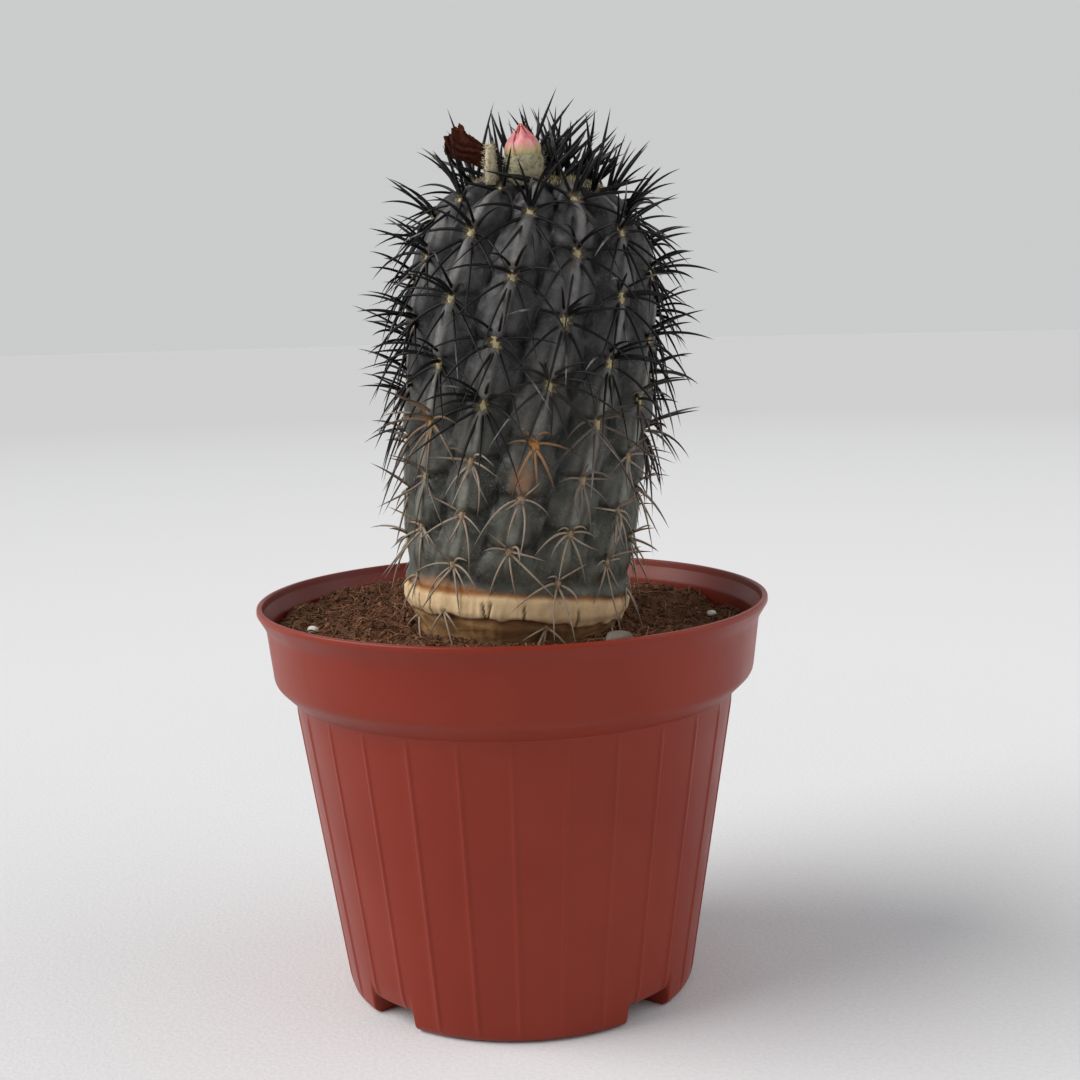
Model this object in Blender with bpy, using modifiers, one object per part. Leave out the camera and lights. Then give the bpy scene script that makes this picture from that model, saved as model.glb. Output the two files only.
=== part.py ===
"""Potted ribbed cactus in a round nursery pot.

Built in metres, +Z up, the pot standing on z = 0 with its axis on the Z axis.
Every size below is in millimetres and is scaled once, when the meshes are finished.
"""
import math

import bmesh
import bpy
import numpy as np
from mathutils import Matrix, Vector
from mathutils.bvhtree import BVHTree

MM = 0.001
TWO_PI = 2.0 * math.pi

# Clearance left between any two pieces that touch.
GAP = 0.3

# Pot: the lip sets the width, and each ring below it steps in from the one above.
POT_HEIGHT = 117.5
LIP_RADIUS = 75.6
LIP_DEPTH = 6.0
LIP_OVERHANG = 2.6
BAND_DEPTH = 21.0
BAND_DRAFT = 1.8
SHOULDER_DEPTH = 6.5
SHOULDER_WIDTH = 5.9
WALL_TAPER = 13.3
BASE_ROUNDING = 2.6
WALL = 1.4
FOOT_WIDTH = 14.0
FOOT_HEIGHT = 5.0
NOTCH_COUNT = 4
NOTCH_ANGLE = 19.0
NOTCH_HEIGHT = 5.5
NOTCH_HEADING = 45.0
RIB_COUNT = 28
RIB_HEADING = 0.0
RIB_WIDTH = 1.3
RIB_PROUD = 0.55
DRAIN_COUNT = 8
DRAIN_RADIUS = 3.5
DRAIN_STEPS = 12
LIP_ROUNDING = 0.6
BAND_ROUNDING = 1.6
POT_STEPS = 72
# How far the cutting shapes reach past what they cut.
OVERSHOOT = 5.0

BAND_TOP_RADIUS = LIP_RADIUS - LIP_OVERHANG
BAND_BOTTOM_RADIUS = BAND_TOP_RADIUS - BAND_DRAFT
WALL_TOP_RADIUS = BAND_BOTTOM_RADIUS - SHOULDER_WIDTH
WALL_BOTTOM_RADIUS = WALL_TOP_RADIUS - WALL_TAPER
WALL_TOP_HEIGHT = POT_HEIGHT - BAND_DEPTH - SHOULDER_DEPTH
RECESS_RADIUS = WALL_BOTTOM_RADIUS - FOOT_WIDTH
DRAIN_RING_RADIUS = RECESS_RADIUS - 3.4 * DRAIN_RADIUS

# Soil: mean surface below the lip, and how far it rises towards the back left.
HEADSPACE = 8.5
SOIL_TILT = 2.6
SOIL_TILT_HEADING = 128.0
SOIL_LUMP = 0.9
SOIL_WAVE_ACROSS = 0.21
SOIL_WAVE_ALONG = 0.17
SOIL_WAVE_SKEW = 0.11
SOIL_STEPS = 36
SOIL_LEVEL = POT_HEIGHT - HEADSPACE

# Stem: the upright shape is described along its own axis, then leaned about the pivot.
BURIED_DEPTH = 9.0
LEAN = 4.6
STEM_HEIGHT = 141.5
STEM_RADIUS = 36.3
BASE_RADIUS = 33.4
NECK_STEP = 4.4
CORK_BOTTOM = 13.0
CORK_TOP = 25.0
ROOT_DEPTH = 34.0
RIBS = 13
RIB_STEPS = 5
STEM_ROW = 5.8
TWIST_PER_MM = 0.30
TWIST_REFERENCE = 80.0
FIRST_RIB_ANGLE = -109.0
FURROW_DEPTH = 3.2
BUMP_HEIGHT = 0.9
ROW_OFFSET = 5.0 / 13.0
# Upper part of the stem: share of the height, and how far the crest falls short of the radius.
STEM_SHAPE = (
    (0.42, 1.2),
    (0.64, 0.0),
    (0.75, 0.4),
    (0.82, 2.0),
    (0.876, 4.6),
    (0.915, 8.0),
    (0.945, 12.5),
    (0.968, 17.8),
    (0.982, 23.0),
    (0.990, 28.5),
)
CROWN_DIP_RADIUS = 3.6
CROWN_DIP = 0.15
PIVOT_HEIGHT = SOIL_LEVEL - BURIED_DEPTH
NECK_RADIUS = BASE_RADIUS - NECK_STEP
CROWN_HEIGHT = STEM_SHAPE[-1][0] * STEM_HEIGHT

# Areoles stand in rows up each rib. Up to LAST_EVEN_ROW the rows widen, above it they close up.
FIRST_ROW_RISE = 4.8
ROW_SPACING = 14.0
ROW_GROWTH = 0.45
LAST_EVEN_ROW = 6.0
CROWN_ROW_SPACING = 18.0
CROWN_ROW_CLOSING = 2.6
TOP_ROW = 9.0

# Spine clusters: one per areole, counted down from the crown.
CLUSTER_COUNT = 44
CROWN_CLEAR = 9.5
PAD_RADIUS = 2.0
PAD_HEIGHT = 1.1
SPINE_LENGTH = 17.0
SPINE_THICKNESS = 0.95
SPINE_TIP = 0.22
SPINE_MIN_SPACE = 0.35
SPINE_KNEE = 0.52
# Beyond the knee the crown's spines bend up and those of the body bend down.
CROWN_RISE = 0.18
BODY_DROOP = 0.34
# Each ring of a cluster: name, number of spines, slope out of the skin, share of the length.
SPINE_RINGS = (("side", 5, 27.0, 1.0), ("top", 3, 62.0, 1.08))
SPINE_TRIES = 30

# Things at the crown. A place is measured across (towards +X) and along (towards +Y) from the
# stem's axis, and a stance is the heading and the angle that the piece is tipped outwards.
BUD_HEIGHT = 15.5
BUD_RADIUS = 6.0
BUD_PLACE = (-4.0, -15.5)
BUD_STANCE = (-75.0, 6.0)
BUD_CUP = 0.40
BUD_SEAT = 0.28
BUD_FOOT = 0.55
BUD_PETALS = 5
PETAL_THICKNESS = 0.6
DRIED_HEIGHT = 14.5
DRIED_RADIUS = 5.2
DRIED_PLACE = (-18.0, -8.0)
DRIED_STANCE = (178.0, 16.0)
DRIED_FLUTES = 5
REMNANT_HEIGHT = 11.0
REMNANT_RADIUS = 2.5
REMNANT_PLACE = (-13.4, -16.0)
REMNANT_STANCE = (-120.0, 8.0)
REMNANT_FLUTES = 4

# Stones on the soil: place on the pot's axes, radius, and how flat each one lies.
PEBBLE = (30.0, -34.0, 3.8, 0.62)
PERLITE_LEFT = (-58.0, -14.0, 1.5, 0.8)
PERLITE_RIGHT = (60.0, 4.0, 1.3, 0.8)


def clear_scene():
    for item in list(bpy.data.objects):
        bpy.data.objects.remove(item, do_unlink=True)


def new_collection(name):
    collection = bpy.data.collections.new(name)
    bpy.context.scene.collection.children.link(collection)
    return collection


def make_material(name, colour, roughness):
    material = bpy.data.materials.new(name)
    material.use_nodes = True
    shader = material.node_tree.nodes["Principled BSDF"]
    shader.inputs["Base Color"].default_value = (colour[0], colour[1], colour[2], 1.0)
    shader.inputs["Roughness"].default_value = roughness
    material.diffuse_color = (colour[0], colour[1], colour[2], 1.0)
    return material


def add_object(name, mesh, collection, material=None):
    item = bpy.data.objects.new(name, mesh)
    collection.objects.link(item)
    if material is not None:
        mesh.materials.append(material)
    return item


def apply_modifiers(item):
    bpy.context.view_layer.update()
    graph = bpy.context.evaluated_depsgraph_get()
    mesh = bpy.data.meshes.new_from_object(item.evaluated_get(graph))
    old = item.data
    item.modifiers.clear()
    item.data = mesh
    bpy.data.meshes.remove(old)


def revolve(name, profile, steps, collection, material=None):
    """Turn a profile of (radius, height) points, outer side top to bottom, about Z."""
    mesh = bpy.data.meshes.new(name)
    points = [(radius, 0.0, height) for radius, height in profile]
    edges = [(i, i + 1) for i in range(len(points) - 1)]
    mesh.from_pydata(points, edges, [])
    item = add_object(name, mesh, collection, material)
    screw = item.modifiers.new("turn", "SCREW")
    screw.axis = "Z"
    screw.angle = TWO_PI
    screw.steps = steps
    screw.render_steps = steps
    screw.use_merge_vertices = True
    screw.merge_threshold = 0.0001
    screw.use_smooth_shade = True
    apply_modifiers(item)
    close_and_orient(item)
    return item


def close_and_orient(item):
    work = bmesh.new()
    work.from_mesh(item.data)
    bmesh.ops.remove_doubles(work, verts=work.verts, dist=0.0001)
    bmesh.ops.recalc_face_normals(work, faces=work.faces)
    if work.calc_volume(signed=True) < 0.0:
        bmesh.ops.reverse_faces(work, faces=work.faces)
    work.to_mesh(item.data)
    work.free()


def triangulate(item):
    """Splits every face into triangles, which a Boolean reads without rounding."""
    work = bmesh.new()
    work.from_mesh(item.data)
    bmesh.ops.triangulate(work, faces=work.faces)
    work.to_mesh(item.data)
    work.free()


def boolean(item, cutter, operation):
    triangulate(item)
    triangulate(cutter)
    modifier = item.modifiers.new("boolean", "BOOLEAN")
    modifier.operation = operation
    modifier.solver = "EXACT"
    modifier.object = cutter
    apply_modifiers(item)


def hide_cutter(item):
    item.hide_render = True
    item.display_type = "WIRE"


# ---------------------------------------------------------------- pot

def wall_radius(height):
    """Outside radius of the tapered wall below the shoulder."""
    return WALL_BOTTOM_RADIUS + WALL_TAPER * height / WALL_TOP_HEIGHT


def pot_profile(inset):
    """Solid outline of the pot, pulled in by inset, outer side from top to bottom."""
    band_bottom = POT_HEIGHT - BAND_DEPTH
    lip_bottom = POT_HEIGHT - LIP_DEPTH
    rounding = BASE_ROUNDING
    wall_foot = wall_radius(rounding)
    if inset == 0.0:
        points = [
            (0.0, POT_HEIGHT),
            (LIP_RADIUS - LIP_ROUNDING, POT_HEIGHT),
            (LIP_RADIUS, POT_HEIGHT - LIP_ROUNDING),
        ]
    else:
        points = [(0.0, POT_HEIGHT + OVERSHOOT), (LIP_RADIUS - inset, POT_HEIGHT + OVERSHOOT)]
    points += [
        (LIP_RADIUS - inset, POT_HEIGHT - 0.35 * LIP_DEPTH),
        (BAND_TOP_RADIUS + 0.35 * LIP_OVERHANG - inset, POT_HEIGHT - 0.7 * LIP_DEPTH),
        (BAND_TOP_RADIUS - inset, lip_bottom),
    ]
    points += [
        (BAND_BOTTOM_RADIUS - inset, band_bottom),
        (BAND_BOTTOM_RADIUS - BAND_ROUNDING - inset, band_bottom - 0.52 * SHOULDER_DEPTH),
        (WALL_TOP_RADIUS + BAND_ROUNDING - inset, WALL_TOP_HEIGHT + 0.16 * SHOULDER_DEPTH),
        (WALL_TOP_RADIUS - inset, WALL_TOP_HEIGHT),
        (wall_foot - inset, rounding + inset),
        (wall_foot - 0.3 * rounding - inset, 0.3 * rounding + inset),
        (wall_foot - rounding - inset, inset),
        (0.0, inset),
    ]
    return points


def underside_cutter(inset, steps, collection):
    """Everything below the raised floor, and the notches between the feet."""
    radius = RECESS_RADIUS + inset
    height = FOOT_HEIGHT + inset
    corner = LIP_ROUNDING
    below = -OVERSHOOT
    profile = [
        (0.0, height),
        (radius - corner, height),
        (radius, height - corner),
        (radius, below),
        (0.0, below),
    ]
    cutter = revolve("underside_cutter", profile, steps, collection)
    for index in range(NOTCH_COUNT):
        heading = math.radians(NOTCH_HEADING) + index * TWO_PI / NOTCH_COUNT
        half = math.radians(NOTCH_ANGLE) * 0.5
        reach = WALL_BOTTOM_RADIUS + 2.0 * OVERSHOOT
        near = RECESS_RADIUS - 1.2 * OVERSHOOT
        top = NOTCH_HEIGHT + inset
        work = bmesh.new()
        bmesh.ops.create_cube(work, size=1.0)
        for vert in work.verts:
            out = reach if vert.co.x > 0.0 else near
            side = 1.0 if vert.co.y > 0.0 else -1.0
            up = top if vert.co.z > 0.0 else -1.2 * OVERSHOOT
            across = side * (out * math.tan(half) + inset)
            vert.co = Vector((out, across, up))
        bmesh.ops.rotate(work, verts=work.verts, cent=(0.0, 0.0, 0.0), matrix=Matrix.Rotation(heading, 3, "Z"))
        mesh = bpy.data.meshes.new("notch_cutter")
        work.to_mesh(mesh)
        work.free()
        notch = add_object("notch_cutter_%d" % index, mesh, collection)
        boolean(cutter, notch, "UNION")
        hide_cutter(notch)
    hide_cutter(cutter)
    return cutter


def pot_body(inset, steps, name, collection, cutters, material):
    """The filled outline of the pot, pulled in by inset, with feet and raised floor."""
    body = revolve(name, pot_profile(inset), steps, collection, material)
    boolean(body, underside_cutter(inset, steps, cutters), "DIFFERENCE")
    return body


def add_wall_ribs(body, cutters):
    top = WALL_TOP_HEIGHT + 0.5
    work = bmesh.new()
    for index in range(RIB_COUNT):
        heading = math.radians(RIB_HEADING) + index * TWO_PI / RIB_COUNT
        made = bmesh.ops.create_cube(work, size=1.0)["verts"]
        for vert in made:
            height = top if vert.co.z > 0.0 else BASE_ROUNDING + 1.0
            out = wall_radius(height) + (RIB_PROUD if vert.co.x > 0.0 else -0.5 * WALL)
            half = RIB_WIDTH * (0.35 if vert.co.x > 0.0 else 0.5)
            vert.co = Vector((out, half if vert.co.y > 0.0 else -half, height))
        bmesh.ops.rotate(work, verts=made, cent=(0.0, 0.0, 0.0), matrix=Matrix.Rotation(heading, 3, "Z"))
    mesh = bpy.data.meshes.new("wall_ribs")
    work.to_mesh(mesh)
    work.free()
    ribs = add_object("wall_ribs", mesh, cutters)
    hide_cutter(ribs)
    boolean(body, ribs, "UNION")


def drain_cutter(cutters):
    work = bmesh.new()
    places = [(0.0, 0.0)]
    for index in range(DRAIN_COUNT):
        angle = index * TWO_PI / DRAIN_COUNT
        places.append((DRAIN_RING_RADIUS * math.cos(angle), DRAIN_RING_RADIUS * math.sin(angle)))
    for x, y in places:
        bmesh.ops.create_cone(
            work, cap_ends=True, segments=DRAIN_STEPS, radius1=DRAIN_RADIUS, radius2=DRAIN_RADIUS,
            depth=2.0 * OVERSHOOT,
            matrix=Matrix.Translation((x, y, FOOT_HEIGHT)),
        )
    mesh = bpy.data.meshes.new("drain_cutter")
    work.to_mesh(mesh)
    work.free()
    cutter = add_object("drain_cutter", mesh, cutters)
    hide_cutter(cutter)
    return cutter


def build_pot(parts, cutters):
    material = make_material("pot_plastic", (0.36, 0.075, 0.042), 0.38)
    pot = pot_body(0.0, POT_STEPS, "pot", parts, cutters, material)
    add_wall_ribs(pot, cutters)
    hollow = pot_body(WALL, POT_STEPS, "pot_hollow", cutters, cutters, None)
    hide_cutter(hollow)
    boolean(pot, hollow, "DIFFERENCE")
    boolean(pot, drain_cutter(cutters), "DIFFERENCE")
    return pot


# ---------------------------------------------------------------- stem

def smooth(value):
    value = min(max(value, 0.0), 1.0)
    return value * value * (3.0 - 2.0 * value)


def stem_points():
    """Heights along the stem axis and crest radii, from the root tip up to the crown."""
    points = [
        (-ROOT_DEPTH, 0.0),
        (-0.96 * ROOT_DEPTH, 0.2 * NECK_RADIUS),
        (-0.74 * ROOT_DEPTH, 0.45 * NECK_RADIUS),
        (-0.35 * ROOT_DEPTH, 0.8 * NECK_RADIUS),
        (-0.03 * ROOT_DEPTH, NECK_RADIUS - 1.2),
        (CORK_BOTTOM - 5.0, NECK_RADIUS - 0.2),
        (CORK_BOTTOM - 1.0, NECK_RADIUS + 1.0),
        (CORK_BOTTOM + 1.0, BASE_RADIUS - 0.4),
        (0.5 * (CORK_BOTTOM + CORK_TOP), BASE_RADIUS),
        (CORK_TOP, BASE_RADIUS - 0.2),
        (CORK_TOP + 14.0, BASE_RADIUS + 0.4),
    ]
    points += [(share * STEM_HEIGHT, STEM_RADIUS - fall) for share, fall in STEM_SHAPE]
    points += [(CROWN_HEIGHT, CROWN_DIP_RADIUS), (CROWN_HEIGHT - CROWN_DIP, 0.0)]
    return points


def stem_rows():
    """Profile rows: the knots, with the long spans between them divided evenly."""
    knots = stem_points()
    rows = [knots[0]]
    for before, after in zip(knots[:-1], knots[1:]):
        span = math.hypot(after[0] - before[0], after[1] - before[1])
        count = max(1, int(round(span / STEM_ROW))) if before[0] > CORK_TOP - 1.0 else 1
        for step in range(1, count + 1):
            part = step / count
            rows.append((before[0] + (after[0] - before[0]) * part, before[1] + (after[1] - before[1]) * part))
    return rows


def rib_angle(height, rib):
    """Heading of a rib's crest at a height along the stem, in radians."""
    degrees = FIRST_RIB_ANGLE + rib * 360.0 / RIBS + TWIST_PER_MM * (height - TWIST_REFERENCE)
    return math.radians(degrees)


def areole_arc(row):
    """Distance up the stem surface of an areole, from its row number above the cork."""
    even = min(row, LAST_EVEN_ROW)
    above = max(0.0, row - LAST_EVEN_ROW)
    low = CORK_TOP + FIRST_ROW_RISE + ROW_SPACING * even + ROW_GROWTH * even ** 2
    return low + CROWN_ROW_SPACING * above - CROWN_ROW_CLOSING * above ** 2


def row_of_arc(arc):
    rows = np.linspace(-2.5, 9.0, 600)
    arcs = [areole_arc(float(row)) for row in rows]
    return float(np.interp(arc, arcs, rows))


def arc_table():
    """Arc length up the outside of the stem, counted so that it matches height low down."""
    knots = [knot for knot in stem_points() if knot[0] >= CORK_TOP]
    arcs = [CORK_TOP]
    for before, after in zip(knots[:-1], knots[1:]):
        arcs.append(arcs[-1] + math.hypot(after[0] - before[0], after[1] - before[1]))
    heights = [knot[0] for knot in knots]
    radii = [knot[1] for knot in knots]
    return arcs, heights, radii


ARC_TABLE = arc_table()


def arc_of(height, radius):
    """Arc length of a point given its height and crest radius."""
    if height <= CORK_TOP:
        return height
    arcs, heights, radii = ARC_TABLE
    best = 0.0
    nearest = 1e9
    for index in range(len(arcs) - 1):
        before = Vector((heights[index], radii[index]))
        after = Vector((heights[index + 1], radii[index + 1]))
        span = after - before
        reach = (Vector((height, radius)) - before).dot(span)
        part = 0.0 if span.length == 0.0 else reach / span.length_squared
        part = min(max(part, 0.0), 1.0)
        distance = (before + span * part - Vector((height, radius))).length
        if distance < nearest:
            nearest = distance
            best = arcs[index] + part * (arcs[index + 1] - arcs[index])
    return best


def surface_radius(height, radius, heading):
    """Radius of the ribbed surface at a heading, where the crests reach the given radius."""
    phase = RIBS * (heading - rib_angle(height, 0)) / 2.0
    rib = round((heading - rib_angle(height, 0)) * RIBS / TWO_PI)
    crest = abs(math.cos(phase)) ** 0.8
    grown = smooth((height - CORK_TOP) / 16.0)
    small = smooth(radius / 22.0)
    depth = FURROW_DEPTH * grown * small
    lumps = 0.5 * (1.0 - grown) * math.cos(3.0 * heading + 0.6) * smooth((height + 10.0) / 20.0)
    row = row_of_arc(arc_of(height, radius)) - ROW_OFFSET * rib
    bump = BUMP_HEIGHT * grown * small * crest * math.cos(TWO_PI * (row - 0.12))
    return radius - depth * (1.0 - crest) + bump + lumps - BUMP_HEIGHT * grown * small


def lean_matrix():
    """Leans the upright stem towards +X about the pivot on the pot axis."""
    turn = Matrix.Rotation(math.radians(LEAN), 4, "Y")
    return Matrix.Translation((0.0, 0.0, PIVOT_HEIGHT)) @ turn


def build_stem(parts):
    rows = stem_rows()
    profile = [(radius, height) for height, radius in reversed(rows)]
    material = make_material("cactus_skin", (0.055, 0.06, 0.062), 0.62)
    stem = revolve("stem", profile, RIBS * RIB_STEPS, parts, material)
    for vert in stem.data.vertices:
        flat = math.hypot(vert.co.x, vert.co.y)
        if flat < 0.01:
            continue
        heading = math.atan2(vert.co.y, vert.co.x)
        reach = surface_radius(vert.co.z, flat, heading)
        vert.co.x = reach * math.cos(heading)
        vert.co.y = reach * math.sin(heading)
    stem.data.transform(lean_matrix())
    return stem


# ---------------------------------------------------------------- soil

def soil_height(x, y):
    """Height of the soil surface: tilted, with low lumps and a dip at the stem."""
    heading = math.radians(SOIL_TILT_HEADING)
    along = (x * math.cos(heading) + y * math.sin(heading)) / BAND_BOTTOM_RADIUS
    lumps = math.sin(SOIL_WAVE_ACROSS * x + 1.3) * math.cos(SOIL_WAVE_ALONG * y - 0.4)
    lumps += 0.6 * math.sin(SOIL_WAVE_SKEW * (x - y))
    return SOIL_LEVEL + SOIL_TILT * along + SOIL_LUMP * lumps


def build_soil(parts, cutters, stem):
    material = make_material("peat_soil", (0.035, 0.02, 0.013), 0.95)
    soil = pot_body(WALL + GAP, SOIL_STEPS, "soil", parts, cutters, material)
    top_radius = LIP_RADIUS + OVERSHOOT
    top = POT_HEIGHT + 4.0 * OVERSHOOT
    profile = [
        (0.0, top),
        (top_radius, top),
        (top_radius, SOIL_LEVEL),
        (0.87 * BAND_TOP_RADIUS, SOIL_LEVEL),
        (0.66 * BAND_TOP_RADIUS, SOIL_LEVEL),
        (0.2 * BAND_TOP_RADIUS, SOIL_LEVEL),
        (0.0, SOIL_LEVEL),
    ]
    skim = revolve("soil_skim", profile, SOIL_STEPS, cutters)
    for vert in skim.data.vertices:
        if vert.co.z < SOIL_LEVEL + 1.0:
            vert.co.z = soil_height(vert.co.x, vert.co.y)
    hide_cutter(skim)
    boolean(soil, skim, "DIFFERENCE")

    # The socket for the buried root keeps the clearance on every side of the stem.
    socket = stem.copy()
    socket.data = stem.data.copy()
    socket.name = "root_socket"
    cutters.objects.link(socket)
    hide_cutter(socket)
    work = bmesh.new()
    work.from_mesh(socket.data)
    work.normal_update()
    shifts = [(vert, vert.normal.copy()) for vert in work.verts]
    for vert, normal in shifts:
        vert.co += normal * (GAP * 1.15)
    work.to_mesh(socket.data)
    work.free()
    boolean(soil, socket, "DIFFERENCE")
    return soil


# ---------------------------------------------------------------- spines

def areole_list():
    """Areoles from the crown downwards: height and radius on the profile, and heading."""
    arcs, heights, radii = ARC_TABLE
    found = []
    for rib in range(RIBS):
        shift = (ROW_OFFSET * rib) % 1.0
        for count in range(-1, 10):
            row = count + shift
            if row > TOP_ROW:
                continue
            arc = areole_arc(row)
            if arc > arcs[-1] or arc < CORK_TOP + 0.8 * FIRST_ROW_RISE:
                continue
            height = float(np.interp(arc, arcs, heights))
            radius = float(np.interp(arc, arcs, radii))
            found.append((arc, height, radius, rib_angle(height, rib)))
    found.sort(key=lambda areole: -areole[0])
    return [areole for areole in found if areole[2] > CROWN_CLEAR]


def cluster_frame(areole, tree, lean):
    """Base point and outward, upward and sideways directions for a cluster."""
    arc, height, radius, heading = areole
    reach = surface_radius(height, radius, heading)
    point = lean @ Vector((reach * math.cos(heading), reach * math.sin(heading), height))
    place, normal, index, distance = tree.find_nearest(point)
    axis = (lean.to_3x3() @ Vector((0.0, 0.0, 1.0))).normalized()
    radial = (place - (lean @ Vector((0.0, 0.0, height)))).normalized()
    steep = smooth(1.0 - radius / STEM_RADIUS)
    out = (radial * (1.0 - 0.75 * steep) + axis * (0.1 + 0.9 * steep)).normalized()
    out = (out + normal.normalized()).normalized()
    up = (axis - out * axis.dot(out)).normalized()
    side = up.cross(out).normalized()
    return place, out, up, side


def spine_paths(seed, place, out, up, side, turn, lift, size, rise):
    """Start, middle and tip of each spine, as a list of three-point paths."""
    generator = np.random.default_rng(seed)
    paths = []
    for ring, count, slope, reach in SPINE_RINGS:
        for index in range(count):
            spin = turn + index * TWO_PI / count + (0.55 if ring == "top" else 0.0)
            spin += math.radians(float(generator.uniform(-9.0, 9.0)))
            angle = math.radians(slope + lift + float(generator.uniform(-6.0, 6.0)))
            flat = up * math.cos(spin) + side * math.sin(spin)
            length = size * reach * float(generator.uniform(0.82, 1.12))
            heading = (flat * math.cos(angle) + out * math.sin(angle)).normalized()
            bend = (heading + up * rise + out * 0.10).normalized()
            start = place + out * (GAP + 0.75 * PAD_HEIGHT) + heading * (0.6 * PAD_RADIUS)
            middle = start + heading * (SPINE_KNEE * length)
            tip = middle + bend * ((1.0 - SPINE_KNEE) * length)
            paths.append((ring, index, start, middle, tip))
    return paths


def segment_distance(a0, a1, b0, b1):
    """Least distances between segment a and each of the segments b."""
    best = np.full(len(b0), 1e9)
    span = b1 - b0
    length = np.maximum((span * span).sum(axis=1), 1e-12)
    for step in np.linspace(0.0, 1.0, 17):
        point = a0 + (a1 - a0) * step
        part = np.clip(((point - b0) * span).sum(axis=1) / length, 0.0, 1.0)
        distance = np.linalg.norm(b0 + span * part[:, None] - point, axis=1)
        best = np.minimum(best, distance)
    return best


def path_room(path, taken, tree, blocks):
    """Room between one spine and the stem, the earlier spines and the crown pieces."""
    ring, index, start, middle, tip = path
    room = 1e9
    for before, after, bulk in ((start, middle, 0.55), (middle, tip, 0.4)):
        for part in (0.35, 0.7, 1.0):
            point = before.lerp(after, part)
            place, normal, face, distance = tree.find_nearest(point)
            inside = (point - place).dot(normal) < 0.0
            room = min(room, -distance if inside else distance - bulk - 0.4)
            for centre, radius in blocks:
                room = min(room, (point - centre).length - radius - bulk)
        if len(taken[0]) > 0:
            distance = segment_distance(np.array(before), np.array(after), taken[0], taken[1])
            room = min(room, float(distance.min()) - SPINE_THICKNESS)
    return room


def build_cluster(name, collection, material, place, out, up, side, paths):
    """A felt pad with one thorn drawn out of each chosen face, all one body."""
    work = bmesh.new()
    bmesh.ops.create_icosphere(work, subdivisions=1, radius=1.0)
    # Stand the pad on a vertex so that five faces look up and five look sideways.
    top = max(work.verts, key=lambda vert: vert.co.z)
    align = top.co.rotation_difference(Vector((0.0, 0.0, 1.0))).to_matrix()
    bmesh.ops.rotate(work, verts=work.verts, cent=(0.0, 0.0, 0.0), matrix=align)
    frame = Matrix((side, up, out)).transposed()
    faces = list(work.faces)
    upper = [face for face in faces if face.calc_center_median().z > 0.6]
    middle = [face for face in faces if 0.05 < face.calc_center_median().z <= 0.6]
    centre = place + out * (GAP + PAD_HEIGHT)
    for vert in work.verts:
        flat = Vector((vert.co.x * PAD_RADIUS, vert.co.y * PAD_RADIUS, vert.co.z * PAD_HEIGHT))
        vert.co = centre + frame @ flat
    work.normal_update()
    pools = {"side": middle, "top": upper}
    for ring, index, start, bend, tip in paths:
        pool = pools[ring]
        face = max(pool, key=lambda item: (item.calc_center_median() - centre).normalized().dot(
            (bend - centre).normalized()))
        pool.remove(face)
        half = 0.5 * SPINE_THICKNESS / math.cos(math.radians(30.0))
        for point, ahead, size in ((bend, tip - start, 0.62 * half), (tip, tip - bend, SPINE_TIP * half)):
            made = bmesh.ops.extrude_discrete_faces(work, faces=[face])["faces"][0]
            corners = [loop.vert for loop in made.loops]
            direction = ahead.normalized()
            spoke = corners[0].co - made.calc_center_median()
            spoke = (spoke - direction * spoke.dot(direction)).normalized() * size
            for turn, vert in enumerate(corners):
                vert.co = point + Matrix.Rotation(turn * TWO_PI / 3.0, 3, direction) @ spoke
            face = made
    bmesh.ops.recalc_face_normals(work, faces=work.faces)
    mesh = bpy.data.meshes.new(name)
    work.to_mesh(mesh)
    work.free()
    return add_object(name, mesh, collection, material)


def build_clusters(parts, stem, lean, blocks):
    work = bmesh.new()
    work.from_mesh(stem.data)
    work.normal_update()
    tree = BVHTree.FromBMesh(work)
    material = make_material("dark_spines", (0.018, 0.016, 0.016), 0.55)
    starts = np.zeros((0, 3))
    ends = np.zeros((0, 3))
    pads = []
    dropped = 0
    for number, areole in enumerate(areole_list()[:CLUSTER_COUNT]):
        place, out, up, side = cluster_frame(areole, tree, lean)
        body = smooth((areole[2] / STEM_RADIUS - 0.55) / 0.35)
        rise = CROWN_RISE - (CROWN_RISE + BODY_DROOP) * body
        best = []
        for attempt in range(SPINE_TRIES):
            turn = math.radians(((attempt * 37) % 72) - 36.0)
            lift = 4.0 * (attempt // 8)
            seed = number * 50 + attempt
            paths = spine_paths(seed, place, out, up, side, turn, lift, SPINE_LENGTH, rise)
            near = blocks + [pad for pad in pads if (pad[0] - place).length < 2.0 * SPINE_LENGTH]
            clear = [path for path in paths if path_room(path, (starts, ends), tree, near) > SPINE_MIN_SPACE]
            if len(clear) > len(best):
                best = clear
            if len(best) == len(paths):
                break
        dropped += len(paths) - len(best)
        for ring, index, start, middle, tip in best:
            starts = np.vstack([starts, np.array(start), np.array(middle)])
            ends = np.vstack([ends, np.array(middle), np.array(tip)])
        pads.append((place + out * (GAP + PAD_HEIGHT), PAD_RADIUS + GAP))
        build_cluster("spine_cluster_%02d" % (number + 1), parts, material, place, out, up, side, best)
    work.free()
    print("spines left out for want of room:", dropped)


# ---------------------------------------------------------------- crown pieces and stones

def skin_height(ring):
    """Height of the upright stem's crests at a distance from its axis."""
    knots = [knot for knot in stem_points() if knot[0] > 0.7 * STEM_HEIGHT]
    return float(np.interp(ring, [knot[1] for knot in reversed(knots)], [knot[0] for knot in reversed(knots)]))


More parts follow.
